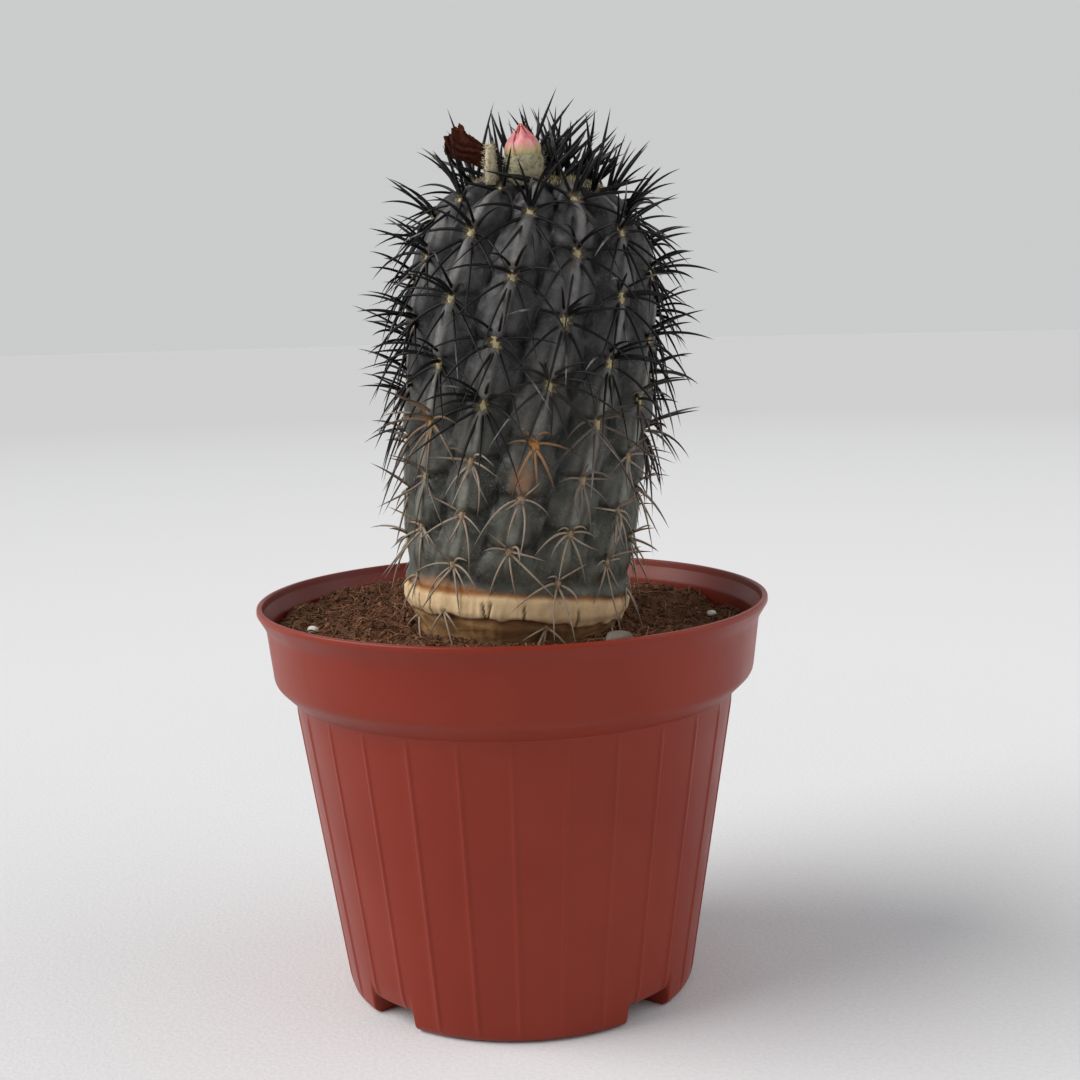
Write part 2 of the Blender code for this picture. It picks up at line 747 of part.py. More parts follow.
def free_spot(across, along, radius):
    """The nearest place to the wanted one where a crown piece stands clear of every areole pad."""
    pads = [(ring * math.cos(angle), ring * math.sin(angle)) for arc, height, ring, angle in areole_list()]
    room = radius + PAD_RADIUS + GAP
    for step in range(24):
        for turn in range(16):
            angle = turn * TWO_PI / 16
            x = across + 0.5 * step * math.cos(angle)
            y = along + 0.5 * step * math.sin(angle)
            if min(math.hypot(x - pad[0], y - pad[1]) for pad in pads) > room:
                return x, y
    return across, along


def crown_frame(lean, place, stance, foot):
    """Frame for a crown piece of that foot radius: tipped outwards, just clear of the skin and pads."""
    heading, tilt = stance
    across, along = free_spot(place[0], place[1], foot)
    turn = Matrix.Rotation(math.radians(heading), 4, "Z") @ Matrix.Rotation(math.radians(tilt), 4, "Y")
    lift = 0.0
    for step in range(24):
        angle = step * TWO_PI / 24
        spot = turn @ Vector((foot * math.cos(angle), foot * math.sin(angle), 0.0))
        ring = math.hypot(across + spot.x, along + spot.y)
        lift = max(lift, skin_height(ring) - spot.z)
    return lean @ Matrix.Translation((across, along, lift + GAP)) @ turn


def keep_out(frame, height, radius):
    """Balls round a crown piece that the spines stay out of."""
    return [(frame @ Vector((0.0, 0.0, part * height)), radius + 0.6) for part in (0.1, 0.35, 0.6, 0.85, 1.0)]


def build_bud(parts, lean):
    frame = crown_frame(lean, BUD_PLACE, BUD_STANCE, BUD_FOOT * BUD_RADIUS)
    cup_material = make_material("bud_base", (0.62, 0.55, 0.36), 0.8)
    bore = 0.76 * BUD_RADIUS
    seat = BUD_SEAT * BUD_HEIGHT
    profile = [
        (0.0, seat),
        (bore, seat),
        (bore, BUD_CUP * BUD_HEIGHT),
        (0.97 * BUD_RADIUS, BUD_CUP * BUD_HEIGHT),
        (BUD_RADIUS, 0.75 * BUD_CUP * BUD_HEIGHT),
        (0.88 * BUD_RADIUS, 0.5 * BUD_CUP * BUD_HEIGHT),
        (BUD_FOOT * BUD_RADIUS, 0.3 * BUD_CUP * BUD_HEIGHT),
        (BUD_FOOT * BUD_RADIUS, 0.0),
        (0.0, 0.0),
    ]
    cup = revolve("bud_base", profile, 14, parts, cup_material)
    cup.data.transform(frame)

    # Each petal is a pointed strip of a closed bud, thickened outwards.
    petal_material = make_material("bud_petals", (0.66, 0.17, 0.20), 0.45)
    petal_low = seat + GAP
    for number in range(BUD_PETALS):
        work = bmesh.new()
        bmesh.ops.create_grid(work, x_segments=3, y_segments=6, size=0.5)
        centre = number * TWO_PI / BUD_PETALS
        for vert in work.verts:
            along = vert.co.y + 0.5
            height = petal_low + along * (BUD_HEIGHT - petal_low)
            swell = 0.35 * math.sin(math.pi * min(1.0, along / 0.7)) if along > 0.2 else 0.0
            taper = max(0.0, along - 0.25) / 0.75
            radius = (bore - GAP - PETAL_THICKNESS) * (1.0 - 0.82 * taper ** 1.6) + swell * (1.0 - taper)
            half = math.pi / BUD_PETALS - math.asin(0.6 * GAP / radius)
            edge = 2.0 * half * vert.co.x
            vert.co = Vector((radius * math.cos(centre + edge), radius * math.sin(centre + edge), height))
        mesh = bpy.data.meshes.new("petal")
        work.to_mesh(mesh)
        work.free()
        petal = add_object("bud_petal_%d" % (number + 1), mesh, parts, petal_material)
        thick = petal.modifiers.new("thickness", "SOLIDIFY")
        thick.thickness = PETAL_THICKNESS
        thick.offset = 1.0
        apply_modifiers(petal)
        close_and_orient(petal)
        petal.data.transform(frame)
    return keep_out(frame, BUD_HEIGHT, BUD_RADIUS)


def build_shrivelled(name, parts, lean, place, stance, height, radius, colour, flutes):
    """A dry crumpled remnant: a turned tube drawn into flutes, open-looking at the top."""
    frame = crown_frame(lean, place, stance, 0.4 * radius)
    profile = [
        (0.0, 0.80 * height),
        (0.45 * radius, 0.86 * height),
        (0.85 * radius, height),
        (radius, 0.93 * height),
        (0.80 * radius, 0.66 * height),
        (0.52 * radius, 0.38 * height),
        (0.46 * radius, 0.12 * height),
        (0.30 * radius, 0.0),
        (0.0, 0.0),
    ]
    material = make_material(name + "_matter", colour, 0.9)
    item = revolve(name, profile, 15, parts, material)
    for vert in item.data.vertices:
        angle = math.atan2(vert.co.y, vert.co.x)
        part = vert.co.z / height
        scale = 1.0 + 0.16 * part * math.cos(flutes * angle)
        vert.co.x *= scale
        vert.co.y *= scale * 0.86
        vert.co.z += 0.06 * height * part * math.sin(2.0 * angle + 0.5)
    item.data.transform(frame)
    return keep_out(frame, height, 1.16 * radius)


def build_stone(name, parts, stone, seed, colour):
    """A pebble lying just clear of the soil surface."""
    x, y, radius, squash = stone
    generator = np.random.default_rng(seed)
    work = bmesh.new()
    bmesh.ops.create_icosphere(work, subdivisions=2, radius=radius)
    phases = generator.uniform(0.0, TWO_PI, 3)
    for vert in work.verts:
        unit = vert.co.normalized()
        lumpy = 1.0 + 0.08 * math.sin(3.1 * unit.x + phases[0]) + 0.07 * math.sin(3.7 * unit.y + phases[1])
        vert.co = unit * radius * lumpy
        vert.co.z *= squash
    low = min(vert.co.z for vert in work.verts)
    reach = 1.1 * radius
    ground = max(
        soil_height(x + reach * math.cos(angle), y + reach * math.sin(angle))
        for angle in np.linspace(0.0, TWO_PI, 12)
    )
    ground = max(ground, soil_height(x, y))
    for vert in work.verts:
        vert.co += Vector((x, y, ground - low + GAP))
    bmesh.ops.recalc_face_normals(work, faces=work.faces)
    mesh = bpy.data.meshes.new(name)
    work.to_mesh(mesh)
    work.free()
    return add_object(name, mesh, parts, make_material(name + "_mineral", colour, 0.8))


def finish(parts):
    for item in parts.objects:
        item.data.transform(Matrix.Scale(MM, 4))
        for face in item.data.polygons:
            face.use_smooth = True
        item.data.update()


def main():
    clear_scene()
    parts = new_collection("potted_cactus")
    cutters = new_collection("cutters")
    lean = lean_matrix()
    build_pot(parts, cutters)
    stem = build_stem(parts)
    build_soil(parts, cutters, stem)
    blocks = build_bud(parts, lean)
    blocks += build_shrivelled(
        "dried_flower", parts, lean, DRIED_PLACE, DRIED_STANCE, DRIED_HEIGHT, DRIED_RADIUS,
        (0.075, 0.022, 0.014), DRIED_FLUTES,
    )
    blocks += build_shrivelled(
        "flower_remnant", parts, lean, REMNANT_PLACE, REMNANT_STANCE, REMNANT_HEIGHT, REMNANT_RADIUS,
        (0.45, 0.38, 0.26), REMNANT_FLUTES,
    )
    build_clusters(parts, stem, lean, blocks)
    build_stone("pebble", parts, PEBBLE, 5, (0.27, 0.24, 0.21))
    build_stone("perlite_left", parts, PERLITE_LEFT, 6, (0.75, 0.73, 0.68))
    build_stone("perlite_right", parts, PERLITE_RIGHT, 7, (0.72, 0.70, 0.64))
    finish(parts)


main()
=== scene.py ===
import math

import bmesh
import bpy
import numpy as np
from mathutils import Matrix, Vector


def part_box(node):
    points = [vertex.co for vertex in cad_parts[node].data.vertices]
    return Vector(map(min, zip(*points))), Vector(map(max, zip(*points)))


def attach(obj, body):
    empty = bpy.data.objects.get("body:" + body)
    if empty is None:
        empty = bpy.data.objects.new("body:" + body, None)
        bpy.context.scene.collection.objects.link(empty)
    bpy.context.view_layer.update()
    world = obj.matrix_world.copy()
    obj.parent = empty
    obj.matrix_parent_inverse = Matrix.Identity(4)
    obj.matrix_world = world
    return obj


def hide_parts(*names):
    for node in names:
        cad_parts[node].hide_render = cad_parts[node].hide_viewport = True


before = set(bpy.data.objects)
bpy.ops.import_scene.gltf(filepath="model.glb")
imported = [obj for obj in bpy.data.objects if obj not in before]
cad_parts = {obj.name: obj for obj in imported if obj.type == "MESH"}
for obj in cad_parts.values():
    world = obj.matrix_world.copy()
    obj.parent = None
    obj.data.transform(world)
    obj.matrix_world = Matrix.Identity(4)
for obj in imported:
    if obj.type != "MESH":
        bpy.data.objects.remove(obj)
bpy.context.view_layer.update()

MM = 0.001
TWO_PI = 2.0 * math.pi

# ---------------------------------------------------------------- sizes, in millimetres
# The pot and the stem repeat the main sizes of the CAD model, whose pot ribs stand further out and whose
# cork ring has level edges.
POT_HEIGHT = 117.5
LIP_RADIUS = 75.6
LIP_DEPTH = 6.0
LIP_OVERHANG = 2.6
BAND_DEPTH = 21.0
BAND_DRAFT = 1.8
SHOULDER_DEPTH = 6.5
SHOULDER_WIDTH = 5.9
WALL_TAPER = 13.3
BASE_ROUNDING = 2.6
WALL = 1.4
FOOT_WIDTH = 14.0
FOOT_HEIGHT = 5.0
NOTCH_COUNT = 4
NOTCH_ANGLE = 19.0
NOTCH_HEADING = 45.0
NOTCH_HEIGHT = 5.5
POT_RIBS = 28
POT_RIB_WIDTH = 1.3
POT_RIB_PROUD = 0.32
POT_RIB_RADIUS = 58.0
POT_HEADING_STEP = 1.875
CLOSEST_HEADINGS = 0.09
DRAIN_COUNT = 8
DRAIN_RADIUS = 3.5
DRILL_LENGTH = 8.0

BAND_TOP_RADIUS = LIP_RADIUS - LIP_OVERHANG
BAND_BOTTOM_RADIUS = BAND_TOP_RADIUS - BAND_DRAFT
WALL_TOP_RADIUS = BAND_BOTTOM_RADIUS - SHOULDER_WIDTH
WALL_BOTTOM_RADIUS = WALL_TOP_RADIUS - WALL_TAPER
WALL_TOP_HEIGHT = POT_HEIGHT - BAND_DEPTH - SHOULDER_DEPTH
RECESS_RADIUS = WALL_BOTTOM_RADIUS - FOOT_WIDTH
DRAIN_RING_RADIUS = RECESS_RADIUS - 3.4 * DRAIN_RADIUS

SOIL_LEVEL = POT_HEIGHT - 8.5
SOIL_TILT = 2.6
SOIL_TILT_HEADING = 128.0
SOIL_INNER_RADIUS = 24.0
SCATTER_INNER_RADIUS = 26.0

LEAN = 4.6
PIVOT_HEIGHT = SOIL_LEVEL - 9.0
STEM_HEIGHT = 141.5
STEM_RADIUS = 36.3
BASE_RADIUS = 33.4
NECK_RADIUS = 29.0
CORK_BOTTOM = 13.0
CORK_TOP = 25.0
CORK_RISE = 1.2
CORK_SADDLE = 1.0
CROWN_HEIGHT = 0.990 * STEM_HEIGHT
RIBS = 13
TWIST_PER_MM = 0.30
TWIST_REFERENCE = 80.0
FIRST_RIB_ANGLE = -109.0
FURROW_DEPTH = 3.4
CHIN_HEIGHT = 1.9
CRACKS = 15
COLUMNS_PER_RIB = 31
ROW_OFFSET = 5.0 / 13.0
FIRST_ROW_ARC = 29.8
ROW_SPACING = 14.0
ROW_GROWTH = 0.45
LAST_EVEN_ROW = 6.0
LAST_EVEN_ARC = 130.0
CROWN_ROW_SPACING = 18.0
CROWN_ROW_CLOSING = 2.6
TOP_ROW = 9.0
LOWEST_ARC = 8.5
CORK_AREOLES_BELOW = CORK_TOP + 1.5
OLD_AREOLES_BELOW = 68.0
CROWN_CLEAR = 9.5
RUST_HEADING = -138.0
LEAST_RISING_SLOPE = math.radians(66.0)
STAIN_ARC = 62.0
STAIN_HEADING = -90.0
SECOND_STAIN_ARC = 75.0
SECOND_STAIN_HEADING = -127.0

OUTER_PETALS = 5
INNER_PETALS = 4
PETAL_THICKNESS = 0.22
BUD_HEIGHT = 13.4
BUD_RADIUS = 5.4
BUD_FOOT = 3.4

SENSOR_WIDTH = 36.0
FOCAL_LENGTH = 160.0 / 3.0

LEAN_FRAME = Matrix.Translation((0.0, 0.0, PIVOT_HEIGHT)) @ Matrix.Rotation(math.radians(LEAN), 4, "Y")
LEAN_TURN = np.array(LEAN_FRAME.to_3x3())
LEAN_SHIFT = np.array(LEAN_FRAME.translation)


# ---------------------------------------------------------------- small tools

def smoothstep(low, high, value):
    part = np.clip((value - low) / (high - low), 0.0, 1.0)
    return part * part * (3.0 - 2.0 * part)


def bell(distance, width):
    return np.exp(-(distance / width) ** 2)


def turn_from(origin, heading):
    """The turn from one heading to another, at most half a turn either way."""
    return (heading - origin + math.pi) % TWO_PI - math.pi


def round_axis(radius, heading, height):
    """Points from their radii, headings and heights."""
    return np.stack([radius * np.cos(heading), radius * np.sin(heading), height], axis=-1)


def unit(vector):
    return vector / np.linalg.norm(vector)


def new_object(name, data):
    thing = bpy.data.objects.new(name, data)
    bpy.context.scene.collection.objects.link(thing)
    return thing


def mesh_from(work, name):
    """A mesh with what a bmesh holds, which is let go."""
    mesh = bpy.data.meshes.new(name)
    work.to_mesh(mesh)
    work.free()
    return mesh


def lattice(ix, iy, iz, seed):
    """A repeatable random number from 0 to 1 for each lattice point."""
    value = np.sin(ix * 127.1 + iy * 311.7 + iz * 74.7 + seed * 53.3) * 43758.5453
    return value - np.floor(value)


def noise(points, scale, seed=0):
    """Smooth value noise from -1 to 1 at points (N, 3)."""
    p = np.asarray(points, dtype=np.float64) * scale
    cell = np.floor(p)
    part = p - cell
    part = part * part * (3.0 - 2.0 * part)
    total = np.zeros(len(p))
    for dx in (0, 1):
        for dy in (0, 1):
            for dz in (0, 1):
                weight = (part[:, 0] if dx else 1.0 - part[:, 0])
                weight = weight * (part[:, 1] if dy else 1.0 - part[:, 1])
                weight = weight * (part[:, 2] if dz else 1.0 - part[:, 2])
                total += weight * lattice(cell[:, 0] + dx, cell[:, 1] + dy, cell[:, 2] + dz, seed)
    return 2.0 * total - 1.0


def fractal(points, scale, octaves, seed=0):
    total = np.zeros(len(points))
    size = 1.0
    for octave in range(octaves):
        total += size * noise(points, scale * 2.0 ** octave, seed + octave)
        size *= 0.5
    return total


def leaned(points):
    """Points of the upright stem, in millimetres, moved to where the leaning stem has them."""
    return np.asarray(points) @ LEAN_TURN.T + LEAN_SHIFT


def make_piece(name, points, groups, materials, nodes=(), kinds=None, values=None):
    """A smooth mesh piece from points in millimetres and lists of faces, with a material number for each list
    and named numbers, one for each point, for the materials to read."""
    mesh = bpy.data.meshes.new(name)
    points = np.asarray(points, dtype=np.float32) * MM
    loops = np.concatenate([np.ravel(group) for group in groups]).astype(np.int32)
    sizes = np.concatenate([np.full(len(group), group.shape[1], np.int32) for group in groups])
    starts = np.concatenate([[0], np.cumsum(sizes)[:-1]]).astype(np.int32)
    mesh.vertices.add(len(points))
    mesh.vertices.foreach_set("co", points.ravel())
    mesh.loops.add(len(loops))
    mesh.loops.foreach_set("vertex_index", loops)
    mesh.polygons.add(len(sizes))
    mesh.polygons.foreach_set("loop_start", starts)
    for material in materials:
        mesh.materials.append(material)
    if kinds is not None:
        numbers = [np.full(len(group), kind, np.int32) for group, kind in zip(groups, kinds)]
        mesh.polygons.foreach_set("material_index", np.concatenate(numbers))
    mesh.polygons.foreach_set("use_smooth", np.ones(len(sizes), dtype=bool))
    mesh.update(calc_edges=True)
    mesh.validate()
    for value_name, numbers in (values or {}).items():
        layer = mesh.attributes.new(value_name, "FLOAT", "POINT")
        layer.data.foreach_set("value", np.asarray(numbers, dtype=np.float32))
    piece = new_object(name, mesh)
    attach(piece, "root")
    if nodes:
        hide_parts(*nodes)
    return piece


def grid_faces(rows, columns, wrap):
    """Quads of a grid whose rows follow one another, with wrapping columns if asked."""
    across = columns if wrap else columns - 1
    row, column = np.meshgrid(np.arange(rows - 1), np.arange(across), indexing="ij")
    following = (column + 1) % columns
    low = row * columns
    return np.stack([
        low + column, low + following, low + columns + following, low + columns + column,
    ], axis=-1).reshape(-1, 4)


def tube_faces(rows, columns):
    """Sides and end fans of a tube of rings, whose tip point and then foot point follow the rings."""
    around = np.arange(columns)
    following = (around + 1) % columns
    last = (rows - 1) * columns
    tip = np.stack([last + around, last + following, np.full(columns, rows * columns)], axis=-1)
    foot = np.stack([following, around, np.full(columns, rows * columns + 1)], axis=-1)
    return grid_faces(rows, columns, True), np.vstack([tip, foot])


# ---------------------------------------------------------------- material tools

class Nodes:
    """A short way to write a node tree."""

    def __init__(self, name):
        self.material = bpy.data.materials.new(name)
        self.material.use_nodes = True
        self.tree = self.material.node_tree
        self.shader = self.tree.nodes["Principled BSDF"]
        coordinates = self.tree.nodes.new("ShaderNodeTexCoord")
        self.place = coordinates.outputs["Object"]

    def link(self, source, target):
        self.tree.links.new(source, target)

    def put(self, socket, value):
        if isinstance(value, bpy.types.NodeSocket):
            self.link(value, socket)
        else:
            socket.default_value = value

    def add(self, kind, **inputs):
        """A new node whose inputs are set or linked by name."""
        node = self.tree.nodes.new("ShaderNode" + kind)
        for name, value in inputs.items():
            self.put(node.inputs[name.replace("_", " ")], value)
        return node

    def noise(self, scale, detail=3.0, rough=0.55, place=None, distortion=0.0):
        node = self.add(
            "TexNoise", Scale=scale, Detail=detail, Roughness=rough, Distortion=distortion,
            Vector=place or self.place,
        )
        return node.outputs["Fac"]

    def spots(self, scale, reach):
        """Round spots, one for each cell of the given scale: 1 in the middle, 0 past their reach."""
        node = self.add("TexVoronoi", Scale=scale, Vector=self.place)
        return self.span(node.outputs["Distance"], 0.0, reach, 1.0, 0.0)

    def stretch(self, scale):
        return self.add("Mapping", Scale=scale, Vector=self.place).outputs["Vector"]

    def value(self, name):
        node = self.add("Attribute")
        node.attribute_name = name
        return node.outputs["Fac"]

    def span(self, value, low, high, to_low=0.0, to_high=1.0):
        node = self.add("MapRange", Value=value, From_Min=low, From_Max=high, To_Min=to_low, To_Max=to_high)
        return node.outputs["Result"]

    def times(self, first, second):
        return self.calculate("MULTIPLY", first, second)

    def plus(self, first, second):
        return self.calculate("ADD", first, second)

    def most(self, first, second):
        return self.calculate("MAXIMUM", first, second)

    def calculate(self, operation, first, second):
        node = self.add("Math")
        node.operation = operation
        self.put(node.inputs[0], first)
        self.put(node.inputs[1], second)
        return node.outputs[0]

    def mix(self, factor, first, second):
        node = self.add("Mix")
        node.data_type = "RGBA"
        self.put(node.inputs[0], factor)
        for socket, value in ((node.inputs[6], first), (node.inputs[7], second)):
            if isinstance(value, tuple):
                socket.default_value = (value[0], value[1], value[2], 1.0)
            else:
                self.link(value, socket)
        return node.outputs[2]

    def bump(self, height, distance, strength):
        return self.add("Bump", Strength=strength, Distance=distance, Height=height).outputs["Normal"]

    def finish(self, colour, roughness, normal=None, **others):
        if isinstance(colour, tuple):
            colour = (colour[0], colour[1], colour[2], 1.0)
        self.put(self.shader.inputs["Base Color"], colour)
        self.put(self.shader.inputs["Roughness"], roughness)
        if normal is not None:
            self.link(normal, self.shader.inputs["Normal"])
        sockets = {socket.name.lower().replace(" ", "_"): socket for socket in self.shader.inputs}
        for name, value in others.items():
            self.put(sockets[name], value)
        return self.material


# ---------------------------------------------------------------- materials

def pot_material():
    """Moulded red-brown plastic: even colour, satin gloss, faint scuffs and dust."""
    n = Nodes("pot_plastic_look")
    soft = n.noise(22.0, 3.0)
    colour = n.mix(n.span(soft, 0.3, 0.7), (0.198, 0.0180, 0.0062), (0.228, 0.0235, 0.0090))
    scuff = n.noise(90.0, 6.0, 0.7, n.stretch((1.0, 1.0, 0.18)))
    scuffs = n.span(scuff, 0.66, 0.76)
    colour = n.mix(n.times(scuffs, 0.30), colour, (0.34, 0.085, 0.050))
    specks = n.spots(260.0, 0.055)
    colour = n.mix(n.times(specks, n.span(n.noise(40.0), 0.58, 0.66)), colour, (0.07, 0.016, 0.010))
    rough = n.span(n.noise(60.0, 4.0), 0.3, 0.7, 0.33, 0.44)
    rough = n.plus(rough, n.times(scuffs, 0.2))
    normal = n.bump(n.noise(1500.0, 2.0), 0.00002, 0.5)
    return n.finish(colour, rough, normal, specular_ior_level=0.28)


def skin_material():
    """Waxy charcoal skin with painted shade darkening the furrows and a pale crest strip, partly wax bloom
    and partly painted highlight, and the corky base.
    """
    n = Nodes("cactus_skin_look")
    height = n.value("height")
    crest_bloom_and_highlight = n.value("crest_bloom_and_highlight")
    painted_furrow_shade = n.value("painted_furrow_shade")
    cork = n.value("cork")
    old = n.value("old_cork")
    rust = n.value("rust")
    cloud = n.noise(55.0, 4.0, 0.6)
    wash = n.noise(24.0, 3.0, 0.6)
    fine = n.noise(420.0, 5.0, 0.65)
    lower = n.span(n.plus(height, n.span(wash, 0.3, 0.7, -16.0, 16.0)), 38.0, 92.0, 1.0, 0.0)
    upper_skin = n.mix(n.span(cloud, 0.32, 0.68), (0.0040, 0.0040, 0.0066), (0.0245, 0.0225, 0.0250))
    lower_skin = n.mix(n.span(cloud, 0.32, 0.68), (0.009, 0.0100, 0.0082), (0.056, 0.057, 0.043))
    skin = n.mix(lower, upper_skin, lower_skin)
    # Painted shade: the skin colour is darkened in the furrows, most just above each areole.
    dark = n.mix(lower, (0.0042, 0.0042, 0.0065), (0.0095, 0.0115, 0.0100))
    shade = n.times(painted_furrow_shade, n.span(cloud, 0.3, 0.7, 0.75, 1.0))
    skin = n.mix(shade, skin, dark)
    # Pale crest strip: partly wax bloom and partly painted highlight along the crests and on the chins.
    bloom_and_highlight = n.times(crest_bloom_and_highlight, n.span(fine, 0.3, 0.65, 0.45, 1.0))
    bloom_and_highlight_colour = n.mix(lower, (0.225, 0.215, 0.208), (0.250, 0.250, 0.205))
    skin = n.mix(n.times(bloom_and_highlight, 0.95), skin, bloom_and_highlight_colour)
    grit = n.span(n.noise(240.0, 6.0, 0.78), 0.46, 0.66)
    skin = n.mix(n.times(grit, 0.50), skin, n.mix(lower, (0.078, 0.073, 0.072), (0.130, 0.130, 0.104)))
    patches = n.span(n.noise(95.0, 5.0, 0.65), 0.52, 0.70)
    skin = n.mix(n.times(patches, 0.45), skin, n.mix(lower, (0.085, 0.080, 0.080), (0.13, 0.135, 0.105)))
    specks = n.spots(1150.0, 0.34)
    specks = n.times(specks, n.span(n.noise(160.0, 3.0), 0.42, 0.62))
    skin = n.mix(n.times(specks, 0.75), skin, n.mix(lower, (0.13, 0.125, 0.125), (0.24, 0.24, 0.20)))
    scars = n.span(n.noise(130.0, 6.0, 0.7), 0.67, 0.74)
    skin = n.mix(n.times(scars, 0.5), skin, (0.12, 0.095, 0.075))

    grain = n.noise(260.0, 5.0, 0.65, n.stretch((1.0, 1.0, 0.35)))
    blotch = n.noise(70.0, 3.0)
    cream = n.mix(grain, (0.50, 0.33, 0.165), (0.86, 0.67, 0.41))
    cream = n.mix(n.span(blotch, 0.45, 0.7, 0.0, 0.8), cream, (0.56, 0.38, 0.21))
    pits = n.spots(900.0, 0.22)
    cream = n.mix(n.times(pits, 0.45), cream, (0.17, 0.095, 0.045))
    rings = n.noise(150.0, 4.0, 0.6, n.stretch((0.45, 0.45, 2.0)), 1.6)
    brown = n.mix(n.span(rings, 0.3, 0.7), (0.20, 0.096, 0.034), (0.60, 0.36, 0.145))
    brown = n.mix(n.span(blotch, 0.50, 0.75, 0.0, 0.6), brown, (0.120, 0.062, 0.028))
    orange = n.mix(grain, (0.22, 0.070, 0.018), (0.42, 0.175, 0.050))
    colour = n.mix(cork, skin, cream)
    deep = n.span(n.noise(42.0, 4.0, 0.6), 0.36, 0.58, 0.15, 1.0)
    brown = n.mix(deep, brown, n.mix(rings, (0.085, 0.042, 0.019), (0.27, 0.150, 0.066)))
    colour = n.mix(old, colour, brown)
    colour = n.mix(rust, colour, orange)
    colour = n.mix(n.value("crack"), colour, (0.060, 0.030, 0.015))

    skin_rough = n.span(fine, 0.3, 0.7, 0.36, 0.62)
    rough = n.plus(skin_rough, n.times(n.most(cork, old), 0.3))
    relief = n.plus(n.times(fine, 0.6), n.times(grain, 0.5))
    normal = n.bump(relief, 0.00042, 0.7)
    return n.finish(colour, rough, normal, specular_ior_level=0.38)


def soil_material():
    n = Nodes("peat_soil_look")
    clump = n.noise(300.0, 6.0, 0.7)
    colour = n.mix(clump, (0.036, 0.018, 0.010), (0.240, 0.108, 0.056))
    normal = n.bump(n.noise(700.0, 6.0, 0.75), 0.0009, 0.9)
    return n.finish(colour, 0.95, normal, specular_ior_level=0.15)


def crumb_material():
    """Peat crumbs and fibres, each with a shade of its own."""
    n = Nodes("peat_crumb_look")
    shade = n.value("shade")
    dark = n.mix(shade, (0.040, 0.019, 0.011), (0.370, 0.170, 0.088))
    pale = n.span(shade, 0.90, 1.0)
    colour = n.mix(pale, dark, (0.30, 0.19, 0.11))
    grit = n.noise(1200.0, 4.0, 0.7)
    colour = n.mix(n.span(grit, 0.35, 0.7, 0.0, 0.5), colour, (0.020, 0.012, 0.009))
    return n.finish(colour, 0.92, n.bump(grit, 0.0003, 0.8), specular_ior_level=0.2)


def stone_material(name, low, high, rough):
    n = Nodes(name)
    mottled = n.noise(900.0, 5.0, 0.65)
    colour = n.mix(mottled, low, high)
    return n.finish(colour, rough, n.bump(mottled, 0.0002, 0.7))


def spine_material():
    """Horny spines: black when young, brown-grey then straw when old, with paler feet."""
    n = Nodes("spine_look")
    age = n.value("age")
    along = n.value("along")
    tint = n.value("tint")
    streak = n.noise(600.0, 3.0, 0.6)
    young = n.mix(streak, (0.0030, 0.0028, 0.0032), (0.0110, 0.0100, 0.0105))
    middle = n.mix(streak, (0.090, 0.070, 0.058), (0.20, 0.165, 0.14))
    old = n.mix(streak, (0.21, 0.155, 0.115), (0.44, 0.36, 0.28))
    colour = n.mix(n.span(age, 0.10, 0.45), young, middle)
    colour = n.mix(n.span(age, 0.55, 0.90), colour, old)
    dark_end = n.span(along, 0.35, 0.85, 0.0, 0.9)
    dark_end = n.times(dark_end, n.span(age, 0.35, 0.95, 1.0, 0.45))
    colour = n.mix(dark_end, colour, (0.014, 0.012, 0.012))
    foot = n.span(along, 0.02, 0.10, 0.70, 0.0)
    colour = n.mix(foot, colour, (0.25, 0.19, 0.12))
    worn = n.times(n.value("worn"), n.span(streak, 0.35, 0.65, 0.3, 0.9))
    colour = n.mix(worn, colour, (0.30, 0.28, 0.27))
    colour = n.mix(tint, colour, n.mix(streak, (0.38, 0.165, 0.050), (0.60, 0.34, 0.15)))
    rough = n.span(streak, 0.3, 0.7, 0.34, 0.50)
    return n.finish(colour, rough, n.bump(streak, 0.00008, 0.4), specular_ior_level=0.16)


def felt_material():
    """Woolly felt: cream at the crown, grey-tan below, orange where it is stained."""
    n = Nodes("felt_look")
    age = n.value("age")
    tint = n.value("tint")
    tuft = n.noise(1400.0, 3.0, 0.6)
    young = n.mix(tuft, (0.26, 0.215, 0.11), (0.58, 0.50, 0.31))
    old = n.mix(tuft, (0.20, 0.135, 0.085), (0.47, 0.35, 0.23))
    colour = n.mix(n.span(age, 0.2, 0.8), young, old)
    colour = n.mix(tint, colour, n.mix(tuft, (0.34, 0.115, 0.022), (0.62, 0.26, 0.06)))
    return n.finish(colour, 0.95, None, specular_ior_level=0.1)


def petal_material():
    """Pink folded petals with a cream-yellow foot and darker veins."""
    n = Nodes("bud_petal_look")
    along = n.value("along")
    edge = n.value("edge")
    vein = n.span(n.noise(420.0, 4.0, 0.6, n.stretch((1.0, 1.0, 0.25))), 0.32, 0.68)
    pink = n.mix(vein, (0.42, 0.060, 0.110), (0.80, 0.33, 0.30))
    pink = n.mix(n.span(along, 0.75, 1.0, 0.0, 0.8), pink, (0.74, 0.20, 0.12))
    foot = n.mix(vein, (0.42, 0.36, 0.14), (0.68, 0.60, 0.30))
    colour = n.mix(n.span(n.plus(along, n.times(vein, 0.25)), 0.32, 0.62), foot, pink)
    colour = n.mix(n.times(edge, 0.6), colour, (0.42, 0.055, 0.11))
    return n.finish(colour, 0.42, n.bump(vein, 0.0001, 0.5), subsurface_weight=0.15,
                    subsurface_scale=0.001)


def woolly_material(name, low, high, scale):
    n = Nodes(name)
    tuft = n.noise(scale, 5.0, 0.65, n.stretch((1.0, 1.0, 0.3)))
    colour = n.mix(tuft, low, high)
    return n.finish(colour, 0.9, n.bump(tuft, 0.0003, 0.8), specular_ior_level=0.15)


# ---------------------------------------------------------------- pot

